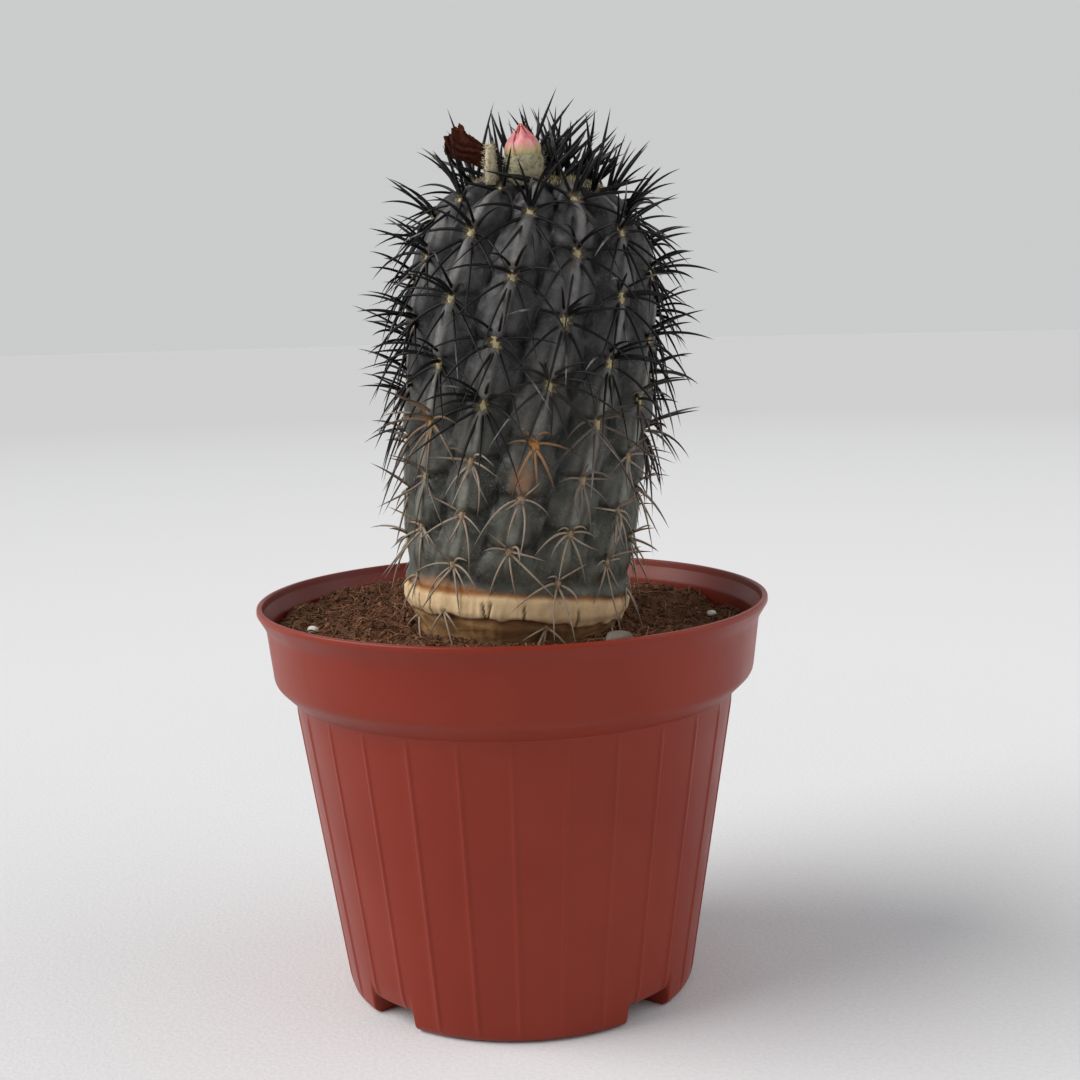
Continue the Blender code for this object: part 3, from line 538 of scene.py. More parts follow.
def rounded_line(corners):
    """Points along a line of (radius, height, fillet) corners, each fillet drawn as an arc."""
    points = []
    count = len(corners)
    for index, (x, y, fillet) in enumerate(corners):
        if fillet <= 0.0 or index in (0, count - 1):
            points.append((x, y))
            continue
        here = np.array((x, y))
        before = np.array(corners[index - 1][:2]) - here
        after = np.array(corners[index + 1][:2]) - here
        before_length = np.linalg.norm(before)
        after_length = np.linalg.norm(after)
        before /= before_length
        after /= after_length
        opening = math.acos(max(-1.0, min(1.0, float(before @ after))))
        reach = min(fillet / math.tan(opening / 2.0), 0.48 * before_length, 0.48 * after_length)
        size = reach * math.tan(opening / 2.0)
        middle = before + after
        middle /= np.linalg.norm(middle)
        centre = here + middle * (size / math.sin(opening / 2.0))
        start = here + before * reach - centre
        end = here + after * reach - centre
        first = math.atan2(start[1], start[0])
        swing = turn_from(first, math.atan2(end[1], end[0]))
        steps = max(3, int(abs(swing) / 0.26))
        for step in range(steps + 1):
            angle = first + swing * step / steps
            points.append((centre[0] + size * math.cos(angle), centre[1] + size * math.sin(angle)))
    return points


def divided(points, longest):
    """The same line with long stretches split evenly."""
    result = [points[0]]
    for before, after in zip(points[:-1], points[1:]):
        span = math.hypot(after[0] - before[0], after[1] - before[1])
        count = max(1, int(math.ceil(span / longest)))
        for step in range(1, count + 1):
            part = step / count
            result.append(tuple(near + (far - near) * part for near, far in zip(before, after)))
    return result


def pot_outline():
    """Outside then inside of the pot wall, from the middle underneath to the middle of the floor."""
    band_bottom = POT_HEIGHT - BAND_DEPTH
    lip_bottom = POT_HEIGHT - LIP_DEPTH
    foot = WALL_BOTTOM_RADIUS
    outer = [
        (0.6, FOOT_HEIGHT, 0.0),
        (RECESS_RADIUS, FOOT_HEIGHT, 0.8),
        (RECESS_RADIUS + 0.6, 0.0, 0.6),
        (foot - 0.1, 0.0, BASE_ROUNDING),
        (WALL_TOP_RADIUS, WALL_TOP_HEIGHT, 1.2),
        (WALL_TOP_RADIUS + 1.4, WALL_TOP_HEIGHT + 1.0, 1.5),
        (BAND_BOTTOM_RADIUS, band_bottom - 1.0, 4.5),
        (BAND_TOP_RADIUS, lip_bottom, 5.0),
        (LIP_RADIUS - 0.35, POT_HEIGHT - 0.35 * LIP_DEPTH, 1.0),
        (LIP_RADIUS, POT_HEIGHT - 1.5, 0.4),
        (LIP_RADIUS - 0.05, POT_HEIGHT, 0.6),
        (LIP_RADIUS - 1.6, POT_HEIGHT, 0.5),
    ]
    inner = [
        (LIP_RADIUS - 1.9, POT_HEIGHT - 0.35 * LIP_DEPTH, 1.5),
        (BAND_TOP_RADIUS - WALL, lip_bottom, 3.0),
        (BAND_BOTTOM_RADIUS - WALL, band_bottom - 0.6, 3.5),
        (WALL_TOP_RADIUS + 0.2, WALL_TOP_HEIGHT + 0.4, 1.5),
        (WALL_TOP_RADIUS - WALL, WALL_TOP_HEIGHT - 1.0, 1.0),
        (foot - WALL - 0.1, WALL, BASE_ROUNDING - 1.0),
        (RECESS_RADIUS + WALL + 0.6, WALL, 0.6),
        (RECESS_RADIUS + WALL, FOOT_HEIGHT + WALL, 0.8),
        (0.6, FOOT_HEIGHT + WALL, 0.0),
    ]
    line = divided(rounded_line(outer + inner), 3.0)
    # The outside ends where the line reaches the inner edge of the lip.
    heights = [index for index, point in enumerate(line) if point[1] > POT_HEIGHT - 0.01]
    return np.array(line), heights[-1]


def pot_headings():
    """Headings for the columns: even, with close ones at each thin rib and notch side."""
    headings = set(np.round(np.arange(0.0, 360.0, POT_HEADING_STEP), 4))
    across = math.degrees(POT_RIB_WIDTH / POT_RIB_RADIUS)
    for index in range(POT_RIBS):
        centre = index * 360.0 / POT_RIBS
        for part in (-0.75, -0.5, -0.32, -0.12, 0.12, 0.32, 0.5, 0.75):
            headings.add(round((centre + part * across) % 360.0, 4))
    for index in range(NOTCH_COUNT):
        centre = NOTCH_HEADING + index * 360.0 / NOTCH_COUNT
        for side in (-1.0, 1.0):
            for part in (-0.55, -0.35, -0.15, 0.0, 0.15, 0.35, 0.55, 1.1, 1.35, 1.6, 1.85, 2.1):
                headings.add(round((centre + side * (NOTCH_ANGLE / 2.0 + part)) % 360.0, 4))
    ordered = sorted(headings)
    kept = [ordered[0]]
    for heading in ordered[1:]:
        if heading - kept[-1] > CLOSEST_HEADINGS:
            kept.append(heading)
    return np.radians(np.array(kept))


def build_pot():
    line, last_outer = pot_outline()
    headings = pot_headings()
    rows = len(line)
    columns = len(headings)
    radius = np.repeat(line[:, 0], columns).reshape(rows, columns)
    height = np.repeat(line[:, 1], columns).reshape(rows, columns)
    outside = (np.arange(rows) <= last_outer)[:, None]
    degrees = np.degrees(headings)[None, :]

    # Thin ribs down the outside of the wall.
    pitch = 360.0 / POT_RIBS
    from_rib = np.abs((degrees + pitch / 2.0) % pitch - pitch / 2.0)
    arc = np.radians(from_rib) * radius
    rib = smoothstep(0.72 * POT_RIB_WIDTH, 0.15 * POT_RIB_WIDTH, arc)
    on_wall = smoothstep(0.6, 5.0, height) * smoothstep(WALL_TOP_HEIGHT - 0.5, WALL_TOP_HEIGHT - 4.0, height)
    on_wall = on_wall * outside * (radius > RECESS_RADIUS + 6.0)
    radius = radius + POT_RIB_PROUD * rib * on_wall

    # Notches between the feet: the bottom of the wall is lifted, the inside a wall higher.
    spacing = 360.0 / NOTCH_COUNT
    from_notch = np.abs((degrees - NOTCH_HEADING + spacing / 2.0) % spacing - spacing / 2.0)
    half = NOTCH_ANGLE / 2.0 + np.where(outside, 0.0, 1.6)
    lift = smoothstep(half + 0.5, half - 0.5, from_notch)
    lowest = NOTCH_HEIGHT + np.where(outside, 0.0, WALL)
    start = np.where(outside, 0.0, WALL)
    reach = 5.0
    raised = lowest + np.clip(height - start, 0.0, None) * reach / (lowest - start + reach)
    near_bottom = (height < lowest + reach) & (radius > RECESS_RADIUS - 1.5)
    height = np.where(near_bottom, height + (np.maximum(raised, height) - height) * lift, height)

    # The lip is never quite true.
    wobble = 0.12 * np.sin(3.0 * headings + 0.4) + 0.08 * np.sin(7.0 * headings + 1.9)
    radius = radius + wobble[None, :] * smoothstep(60.0, POT_HEIGHT, height)

    points = round_axis(radius, headings[None, :], height).reshape(-1, 3)
    faces = grid_faces(rows, columns, True)[:, ::-1]
    under = len(points)
    points = np.vstack([points, [[0.0, 0.0, line[0, 1]], [0.0, 0.0, line[-1, 1]]]])
    around = np.arange(columns)
    following = (around + 1) % columns
    bottom = np.stack([np.full(columns, under), around, following], axis=-1)
    base = (rows - 1) * columns
    top = np.stack([np.full(columns, under + 1), base + following, base + around], axis=-1)
    faces = [faces, np.vstack([bottom, top])]
    pot = make_piece("pot_shell", points, faces, [pot_material()], ["pot"])
    drill_floor(pot)


def drill_floor(pot):
    """Round drain holes through the raised floor: one in the middle and a ring of them."""
    work = bmesh.new()
    places = [(0.0, 0.0)]
    for index in range(DRAIN_COUNT):
        angle = index * TWO_PI / DRAIN_COUNT
        places.append((DRAIN_RING_RADIUS * math.cos(angle), DRAIN_RING_RADIUS * math.sin(angle)))
    radius = DRAIN_RADIUS * MM
    for x, y in places:
        bmesh.ops.create_cone(
            work, cap_ends=True, segments=36, radius1=radius, radius2=radius, depth=DRILL_LENGTH * MM,
            matrix=Matrix.Translation(Vector((x, y, FOOT_HEIGHT)) * MM),
        )
    drill = new_object("drill", mesh_from(work, "drill"))
    cut = pot.modifiers.new("drain_holes", "BOOLEAN")
    cut.operation = "DIFFERENCE"
    cut.object = drill
    bpy.context.view_layer.update()
    drilled = bpy.data.meshes.new_from_object(pot.evaluated_get(bpy.context.evaluated_depsgraph_get()))
    pot.modifiers.clear()
    pot.data = drilled
    bpy.data.objects.remove(drill)


# ---------------------------------------------------------------- stem

def curve_through(knots, longest):
    """A smooth line through (height, radius) knots, whose tangents are no longer than the gap to cross."""
    points = np.array(knots, dtype=float)
    result = [points[0]]
    count = len(points)
    for index in range(count - 1):
        p0 = points[max(index - 1, 0)]
        p1 = points[index]
        p2 = points[index + 1]
        p3 = points[min(index + 2, count - 1)]
        d1 = (p2 - p0) * 0.5
        d2 = (p3 - p1) * 0.5
        limit = np.linalg.norm(p2 - p1)
        for tangent in (d1, d2):
            length = np.linalg.norm(tangent)
            if length > limit:
                tangent *= limit / length
        steps = max(1, int(math.ceil(limit / longest)))
        for step in range(1, steps + 1):
            t = step / steps
            a = 2 * t ** 3 - 3 * t ** 2 + 1
            b = t ** 3 - 2 * t ** 2 + t
            c = -2 * t ** 3 + 3 * t ** 2
            d = t ** 3 - t ** 2
            result.append(a * p1 + b * d1 + c * p2 + d * d2)
    return np.array(result)


def stem_knots():
    """Height along the stem and crest radius, from below the soil to the crown."""
    full = STEM_RADIUS
    top = STEM_HEIGHT
    return [
        (-6.0, NECK_RADIUS - 3.0),
        (CORK_BOTTOM - 5.0, NECK_RADIUS + 0.4),
        (CORK_BOTTOM + CORK_RISE - 1.6, NECK_RADIUS + 2.8),
        (CORK_BOTTOM + CORK_RISE + 0.4, BASE_RADIUS - 1.1),
        (CORK_BOTTOM + CORK_RISE + 2.6, BASE_RADIUS),
        (CORK_TOP - 3.0, BASE_RADIUS + 0.1),
        (CORK_TOP + 0.5, BASE_RADIUS - 0.9),
        (CORK_TOP + 6.0, BASE_RADIUS - 0.1),
        (CORK_TOP + 16.0, BASE_RADIUS + 0.5),
        (0.42 * top, full - 1.2),
        (0.64 * top, full),
        (0.75 * top, full - 0.4),
        (0.82 * top, full - 2.0),
        (0.876 * top, full - 4.6),
        (0.915 * top, full - 8.0),
        (0.945 * top, full - 12.5),
        (0.968 * top, full - 17.8),
        (0.982 * top, full - 23.0),
        (CROWN_HEIGHT, full - 28.5),
        (CROWN_HEIGHT, 3.6),
        (CROWN_HEIGHT - 0.15, 0.4),
    ]


STEM_LINE = curve_through(stem_knots(), 0.72)
STEM_STEPS = np.linalg.norm(np.diff(STEM_LINE, axis=0), axis=1)
STEM_ARCS = np.concatenate([[0.0], np.cumsum(STEM_STEPS)])
# Arc lengths are shifted so that the one at the top of the cork equals its height.
STEM_ARCS += CORK_TOP - np.interp(CORK_TOP, STEM_LINE[:200, 0], STEM_ARCS[:200])


def on_line(arc):
    """Height and crest radius of the stem at arc lengths up its side."""
    return np.interp(arc, STEM_ARCS, STEM_LINE[:, 0]), np.interp(arc, STEM_ARCS, STEM_LINE[:, 1])


def areole_arc(row):
    """Arc length of an areole from its row number: rows slowly widen, then close up at the crown."""
    low = FIRST_ROW_ARC + ROW_SPACING * row + ROW_GROWTH * row * row
    beyond = row - LAST_EVEN_ROW
    high = LAST_EVEN_ARC + CROWN_ROW_SPACING * beyond - CROWN_ROW_CLOSING * beyond ** 2
    return np.where(row <= LAST_EVEN_ROW, low, high)


ROW_TABLE = np.linspace(-3.5, 9.3, 1300)
ARC_TABLE = areole_arc(ROW_TABLE)


def rib_heading(height, rib):
    return np.radians(FIRST_RIB_ANGLE + rib * 360.0 / RIBS + TWIST_PER_MM * (height - TWIST_REFERENCE))


def stem_surface(arc, heading):
    """Points of the ribbed skin at arc lengths and headings, with what the material reads."""
    height, radius = on_line(arc)
    height_above, radius_above = on_line(arc + 0.4)
    height_below, radius_below = on_line(arc - 0.4)
    ahead = height_above - height_below
    outer = radius_above - radius_below
    length = np.maximum(np.hypot(ahead, outer), 1e-9)
    normal_out = ahead / length
    normal_up = -outer / length

    phase = (heading - rib_heading(height, 0)) * RIBS / TWO_PI
    rib = np.round(phase)
    across = np.abs(phase - rib)
    row = np.interp(arc, ARC_TABLE, ROW_TABLE) - ROW_OFFSET * rib
    down = 1.0 - (row - np.floor(row))
    small = smoothstep(1.0, 24.0, radius)
    grown = smoothstep(CORK_TOP - 1.0, CORK_TOP + 14.0, height)
    flat = round_axis(radius, heading, height)

    # Ribs with rounded crests, and a furrow that bites deeper just above each areole.
    rise = smoothstep(0.0, 0.62, down) * smoothstep(0.99, 0.82, down)
    shoulder = 0.04 + 0.17 * rise
    furrow = smoothstep(0.0, 1.0, (across - shoulder) / (0.5 - shoulder))
    furrow = furrow * (0.72 + 0.28 * smoothstep(0.3, 0.5, across))
    depth = FURROW_DEPTH * small * grown * (0.62 + 0.36 * np.cos(TWO_PI * (down - 0.03)))
    upper = smoothstep(CORK_TOP + 4.0, 90.0, height)
    depth = depth * (0.60 + 0.40 * upper)
    chin = CHIN_HEIGHT * (0.35 + 0.65 * grown) * (0.70 + 0.15 * upper) * small * rise
    chin = chin * bell(across, 0.27) * smoothstep(CORK_TOP + 1.0, CORK_TOP + 8.0, height)
    notch = 0.45 * small * grown * bell(down - 0.945, 0.060) * bell(across, 0.26)
    seat = 0.5 * small * grown * bell(np.minimum(down, 1.0 - down), 0.09) * bell(across, 0.14)
    crest_line = 0.55 * small * grown * bell(across, 0.075) * smoothstep(0.9, 0.5, rise)
    lumps = 0.42 * grown * fractal(flat, 0.11, 2, 3) + 0.12 * grown * fractal(flat, 0.5, 2, 9)
    shift = chin - depth * furrow - notch - seat + crest_line + lumps - 0.4 * CHIN_HEIGHT * small * grown

    # The cork ring: a proud band with a wavy lower edge, upright cracks and soft dents.
    turn = round_axis(6.0, heading, height * 0.10)
    saddle = CORK_SADDLE * np.cos(2.0 * heading)
    edge = CORK_BOTTOM + CORK_RISE - saddle + 1.3 * noise(turn, 0.42, 21) + 1.1 * noise(turn, 1.5, 22)
    seam = CORK_TOP - 3.5 - saddle + 0.8 * noise(turn, 0.35, 23) + 0.4 * noise(turn, 1.3, 24)
    cork = smoothstep(edge - 0.25, edge + 0.35, height) * smoothstep(seam + 0.8, seam - 0.6, height)
    old = smoothstep(edge + 0.15, edge - 0.35, height)
    band = smoothstep(seam + 3.0, seam, height)
    undercut = smoothstep(edge + 0.3, edge - 0.9, height)
    ring = round_axis(33.0, heading, height * 0.35)
    crack = np.zeros_like(height)
    for number in range(CRACKS):
        start = float(lattice(number, 3.0, 7.0, 1)) * TWO_PI
        slant = (float(lattice(number, 5.0, 2.0, 2)) - 0.5) * 0.012
        reach = 0.35 + 0.65 * float(lattice(number, 8.0, 4.0, 3))
        crack_place = np.stack([height * 0.3, np.full_like(height, number), np.zeros_like(height)], axis=-1)
        line = start + slant * (height - CORK_BOTTOM) + 0.008 * noise(crack_place, 1.0, 33)
        off = np.abs(turn_from(line, heading)) * radius
        part = (height - edge) / np.maximum(seam - edge, 1.0)
        along = smoothstep(-0.1, 0.05, part) * smoothstep(reach + 0.25, reach, part)
        crack = np.maximum(crack, smoothstep(0.50, 0.12, off) * along)
    base_shape = 0.6 * fractal(ring, 0.09, 2, 41) + 0.22 * fractal(ring, 0.5, 3, 45)
    shift = shift + band * base_shape - 0.8 * undercut - 0.5 * crack
    shift = shift - 0.55 * bell(height - seam, 0.7)

    moved_out = radius + shift * normal_out
    moved_up = height + shift * normal_up
    points = round_axis(moved_out, heading, moved_up)

    # Rust: a thin line along the top of the cork with a patch at the left, and a spot at the front.
    patch = bell(turn_from(math.radians(RUST_HEADING), heading), 0.45)
    rust_top = seam + 1.5 + 3.6 * patch + (0.6 + 1.4 * patch) * noise(turn, 0.8, 51)
    rust = smoothstep(rust_top, seam + 0.5, height) * smoothstep(seam - 1.6, seam + 0.1, height)
    rust = rust * np.clip(0.45 + 0.5 * patch + 0.5 * noise(turn, 0.6, 52), 0.0, 1.0)
    from_front = turn_from(math.radians(STAIN_HEADING), heading)
    spot = np.exp(-((arc - STAIN_ARC + 6.5) / 3.6) ** 2 - (from_front * radius / 2.6) ** 2)
    rust = np.maximum(rust, np.clip(spot * (0.75 + 0.5 * noise(flat, 0.6, 53)), 0.0, 0.75))
    # Pale crest strip and chin band for the colour: partly wax bloom, partly painted highlight.
    crest = smoothstep(0.125, 0.040, across)
    chin_highlight = bell(across - 0.13 - 0.10 * rise, 0.06) * rise
    crest_bloom_and_highlight = grown * small * np.clip(0.95 * crest * (0.60 + 0.40 * rise) + 0.30 * chin_highlight, 0.0, 1.0)
    # Painted shade mask: the furrow depth, strongest just above each areole, for darkening the skin colour.
    painted_furrow_shade = np.clip(1.25 * furrow * (0.50 + 0.62 * np.cos(TWO_PI * (down - 0.98))), 0.0, 1.0) * grown
    values = {
        "height": height, "crest_bloom_and_highlight": crest_bloom_and_highlight, "painted_furrow_shade": painted_furrow_shade, "cork": cork, "old_cork": old, "rust": rust,
        "crack": crack,
    }
    return points, values


def build_stem():
    rows = len(STEM_LINE)
    columns = RIBS * COLUMNS_PER_RIB
    headings = np.arange(columns) * TWO_PI / columns
    arc = np.repeat(STEM_ARCS, columns)
    heading = np.tile(headings, rows)
    # Columns follow the turn of the ribs, so that each rib has the same columns all the way up.
    heading = heading + rib_heading(on_line(arc)[0], 0)
    points, values = stem_surface(arc, heading)
    ends = [[0.0, 0.0, CROWN_HEIGHT - 0.15], [0.0, 0.0, STEM_LINE[0, 0]]]
    points = leaned(np.vstack([points, ends]))
    values = {name: np.concatenate([value, [value[-1], value[0]]]) for name, value in values.items()}
    faces = tube_faces(rows, columns)
    make_piece("cactus_stem", points, faces, [skin_material()], ["stem"], values=values)


# ---------------------------------------------------------------- areoles and spines

def tube_rings(path, sizes, sides):
    """Rings of points round a path (N, 3), with a radius at each of its points."""
    count = len(path)
    ahead = np.gradient(path, axis=0)
    ahead /= np.maximum(np.linalg.norm(ahead, axis=1, keepdims=True), 1e-12)
    helper = np.array([0.0, 0.0, 1.0]) if abs(ahead[0, 2]) < 0.9 else np.array([1.0, 0.0, 0.0])
    side = np.cross(ahead[0], helper)
    side /= np.linalg.norm(side)
    rings = []
    for index in range(count):
        side = side - ahead[index] * (side @ ahead[index])
        side /= np.linalg.norm(side)
        other = np.cross(ahead[index], side)
        angles = np.arange(sides) * TWO_PI / sides
        ring = path[index] + sizes[index] * (np.cos(angles)[:, None] * side + np.sin(angles)[:, None] * other)
        rings.append(ring)
    return np.concatenate(rings)


class Builder:
    """Gathers many small tubes and lumps into one mesh."""

    def __init__(self):
        self.points = []
        self.quads = {}
        self.triangles = {}
        self.values = {}
        self.count = 0

    def add(self, points, quads, triangles, kind, **values):
        for store, faces in ((self.quads, quads), (self.triangles, triangles)):
            if faces is not None and len(faces):
                store.setdefault(kind, []).append(np.asarray(faces) + self.count)
        self.points.append(points)
        for name, value in values.items():
            filled = np.broadcast_to(np.asarray(value, dtype=float), (len(points),))
            self.values.setdefault(name, []).append(filled)
        self.count += len(points)

    def tube(self, path, sizes, sides, kind, **values):
        """A closed tube whose last point is its tip."""
        path = np.asarray(path, dtype=float)
        rings = tube_rings(path[:-1], sizes[:-1], sides)
        count = len(path) - 1
        points = np.vstack([rings, path[-1:], path[:1]])
        quads, ends = tube_faces(count, sides)
        filled = {}
        for name, value in values.items():
            value = np.asarray(value, dtype=float)
            if value.ndim:
                filled[name] = np.concatenate([np.repeat(value[:-1], sides), value[-1:], value[:1]])
            else:
                filled[name] = value
        self.add(points, quads, ends, kind, **filled)

    def build(self, name, materials, slot, nodes=()):
        groups = []
        kinds = []
        for store in (self.quads, self.triangles):
            for kind, lists in store.items():
                groups.append(np.vstack(lists))
                kinds.append(kind)
        values = {value_name: np.concatenate(lists) for value_name, lists in self.values.items()}
        make_piece(name, np.vstack(self.points), groups, materials, nodes, kinds, values)


def areole_list():
    """Arc, height, radius and rib of every areole, from the crown downwards."""
    found = []
    for rib in range(RIBS):
        shift = (ROW_OFFSET * rib) % 1.0
        for count in range(-2, 10):
            row = count + shift
            arc = float(areole_arc(np.array(row)))
            if row > TOP_ROW or arc > STEM_ARCS[-1] or arc < LOWEST_ARC:
                continue
            height, radius = on_line(arc)
            found.append((arc, float(height), float(radius), rib))
    found.sort(key=lambda areole: -areole[0])
    return found


def surface_frame(arc, heading):
    """Place, outward normal, upward and sideways directions on the upright stem's skin."""
    step = 1.2
    turn = step / 34.0
    arcs = np.array([arc, arc + step, arc - step, arc, arc])
    headings = np.array([heading, heading, heading, heading + turn, heading - turn])
    points = stem_surface(arcs, headings)[0]
    up = unit(points[1] - points[2])
    side = unit(points[3] - points[4])
    out = unit(np.cross(side, up))
    return points[0], out, up, np.cross(up, out)


def spine_plan(generator, arc, crown, high):
    """Spin, slope, length and whether it is central, for each spine of an areole, by its place."""
    draw = generator.uniform
    plan = []
    if arc < CORK_AREOLES_BELOW:
        for spin in (118.0, 152.0, 184.0, 214.0, 246.0):
            if generator.random() < 0.72:
                plan.append((spin + draw(-12.0, 12.0), draw(12.0, 34.0), draw(7.0, 12.0), 0))
        return plan
    if arc < OLD_AREOLES_BELOW:
        count = int(generator.integers(6, 9))
        for index in range(count):
            spin = 40.0 + 280.0 * index / (count - 1) + draw(-14.0, 14.0)
            plan.append((spin, draw(14.0, 36.0), draw(9.5, 15.5), 0))
        if generator.random() < 0.5:
            plan.append((draw(0.0, 360.0), draw(50.0, 75.0), draw(9.0, 14.0), 1))
        return plan
    if crown > 0.5:
        for index in range(int(generator.integers(4, 7))):
            spin = draw(-150.0, 150.0)
            plan.append((spin, draw(30.0, 66.0), draw(13.0, 24.5), 1))
        return plan
    pairs = int(generator.integers(4, 6))
    for index in range(pairs):
        for side in (-1.0, 1.0):
            level = index / (pairs - 1)
            spin = side * (34.0 + 116.0 * level) + draw(-9.0, 9.0)
            reach = 1.0 - 0.30 * abs(level - 0.40)
            slope = draw(16.0, 34.0) + 20.0 * max(0.0, 0.35 - level) / 0.35
            plan.append((spin, slope, draw(21.0, 27.5) * reach, 0))
    if generator.random() < 0.7:
        plan.append((180.0 + draw(-14.0, 14.0), draw(18.0, 34.0), draw(10.0, 15.0), 0))
    for index in range(int(generator.integers(1, 3)) + round(2.0 * high)):
        spin = draw(-80.0, 80.0) * (1.0 - 0.6 * high)
        slope = draw(50.0, 76.0) - 14.0 * high
        plan.append((spin, slope, draw(17.0, 23.0) + 3.0 * high, 1))
    return plan


def stain_of(arc, heading):
    """How orange an areole is: one at the front is stained, and one to the left of it a little."""
    strength = 0.0
    for stain_arc, stain_heading, full in (
        (STAIN_ARC, STAIN_HEADING, 0.75), (SECOND_STAIN_ARC, SECOND_STAIN_HEADING, 0.4),
    ):
        turn = turn_from(math.radians(stain_heading), heading)
        if abs(arc - stain_arc) < 7.0 and abs(turn) < 0.23:
            strength = full
    return strength


def build_areole(builder, generator, areole):
    draw = generator.uniform
    arc, height, radius, rib = areole
    heading = float(rib_heading(height, rib))
    place, out, up, side = surface_frame(arc, heading)
    # The outward direction leans back towards the plain stem surface, which the chins upset.
    plain = np.array([math.cos(heading), math.sin(heading), 0.0])
    steep = float(smoothstep(0.0, 1.0, 1.0 - radius / STEM_RADIUS))
    plain = plain * (1.0 - 0.8 * steep) + np.array([0.0, 0.0, 0.1 + 0.95 * steep])
    out = unit(0.45 * out + 0.55 * plain / np.linalg.norm(plain))
    up = unit(up - out * (up @ out))
    side = np.cross(up, out)
    age = float(smoothstep(92.0, 40.0, arc + draw(-9.0, 9.0)))
    crown = float(smoothstep(30.0, 14.0, radius))
    high = float(smoothstep(35.0, 27.0, radius))
    body = 1.0 - crown
    on_cork = arc < CORK_AREOLES_BELOW
    stained = stain_of(arc, heading)
    size = 0.70 + 0.30 * float(smoothstep(4.0, 20.0, radius))
    if on_cork:
        size *= 0.75

    # Felt: a low mound, longer up the rib than across it, with short curly hairs.
    grown = float(smoothstep(40.0, 80.0, arc))
    wide = (1.00 + 0.15 * grown) * size
    tall = (1.6 + 1.2 * grown * body + 0.3 * grown) * size
    felt = {"age": age, "along": 0.0, "tint": stained, "worn": 0.0}
    rings = 6
    sides = 14
    mound = []
    for step in range(rings):
        part = step / (rings - 1)
        swell = math.cos(part * math.pi / 2.0)
        for turn in range(sides):
            angle = turn * TWO_PI / sides
            rough = 1.0 + 0.16 * generator.standard_normal() * (0.4 + swell)
            flat = side * (wide * swell * rough * math.cos(angle))
            flat = flat + up * (tall * swell * rough * math.sin(angle))
            mound.append(place + flat + out * (0.75 * size * math.sin(part * math.pi / 2.0) - 0.3))
    builder.add(leaned(np.array(mound)), grid_faces(rings, sides, True), None, 1, **felt)
    for hair in range(int(40 + 30 * grown)):
        angle = draw(0.0, TWO_PI)
        reach = math.sqrt(draw(0.05, 1.0))
        start = place + side * (wide * reach * math.cos(angle)) + up * (tall * reach * math.sin(angle))
        ahead = out + 0.9 * (side * math.cos(angle) + up * math.sin(angle)) * reach
        ahead = unit(ahead + 0.5 * generator.standard_normal(3))
        curl = generator.standard_normal(3) * 0.5
        length = draw(0.6, 1.4) * size
        path = [start, start + ahead * length * 0.5, start + (ahead + curl * 0.5) * length]
        builder.tube(leaned(path), [0.06, 0.05, 0.0], 3, 1, **felt)

    # Spines: combs down both sides and a few standing out, each arching over and down.
    for spin, slope, length, central in spine_plan(generator, arc, crown, high):
        spin = math.radians(spin)
        slope = math.radians(slope)
        length *= 0.90 + 0.10 * crown
        girth = draw(0.35, 0.46) * (1.0 + 0.22 * crown) * (1.0 - 0.22 * age) * (1.15 if central else 1.0)
        flat = side * math.sin(spin) + up * math.cos(spin)
        rising = max(0.0, math.cos(spin))
        slope = max(slope, body * rising * LEAST_RISING_SLOPE)
        ahead = flat * math.cos(slope) + out * math.sin(slope)
        sideways = abs(math.sin(spin))
        droop = draw(0.26, 0.56) * body * (1.0 - 0.40 * rising) - 0.16 * crown
        inward = draw(0.10, 0.30) * sideways * body * (1.0 - 0.6 * rising)
        bend = -droop * up - inward * out + draw(0.03, 0.10) * generator.standard_normal(3)
        if age > 0.5 and not on_cork:
            bend = bend + 0.22 * generator.standard_normal(3)
        seat = side * (wide * 0.72 * math.sin(spin)) + up * (tall * 0.80 * math.cos(spin))
        if central:
            seat = seat * 0.4
        start = place + seat - out * 0.25
        steps = 11
        parts = np.linspace(0.0, 1.0, steps)
        path = start + length * (ahead * parts[:, None] + bend * (parts ** 2)[:, None])
        sizes = girth * np.array([1.32, 1.15, 1.07, 1.02, 0.97, 0.90, 0.81, 0.69, 0.51, 0.28, 0.0])
        worn = (0.85 if generator.random() < 0.10 else 0.0) * smoothstep(0.45, 0.8, parts)
        fading = np.clip(1.0 - parts * 1.1, 0.0, 1.0)
        builder.tube(leaned(path), sizes, 7, 0, age=age, along=parts, tint=stained * fading, worn=worn)


def build_areoles():
    materials = [spine_material(), felt_material()]
    areoles = areole_list()
    cad_nodes = sorted(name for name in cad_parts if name.startswith("spine_cluster_"))
    builders = {}
    owners = {}
    clusters = 0
    for number, areole in enumerate(areoles):
        rib = areole[3]
        builder = builders.setdefault(rib, Builder())
        generator = np.random.default_rng(1000 + number)
        # The crowded ones at the growing point, and those on the cork, are thinned out.
        if areole[2] < CROWN_CLEAR and number % 2:
            continue
        if areole[0] < CORK_AREOLES_BELOW and rib % 2 == 1:
            continue
        build_areole(builder, generator, areole)
        if areole[2] > CROWN_CLEAR and clusters < len(cad_nodes):
            owners.setdefault(rib, []).append(cad_nodes[clusters])
            clusters += 1
    for rib, builder in builders.items():
        builder.build("rib_%02d_spines" % (rib + 1), materials, "dark_spines", owners.get(rib, []))


# ---------------------------------------------------------------- soil

def soil_height(x, y):
    heading = math.radians(SOIL_TILT_HEADING)
    along = (x * math.cos(heading) + y * math.sin(heading)) / BAND_BOTTOM_RADIUS
    lumps = np.sin(0.21 * x + 1.3) * np.cos(0.17 * y - 0.4) + 0.6 * np.sin(0.11 * (x - y))
    return SOIL_LEVEL + SOIL_TILT * along + 0.9 * lumps


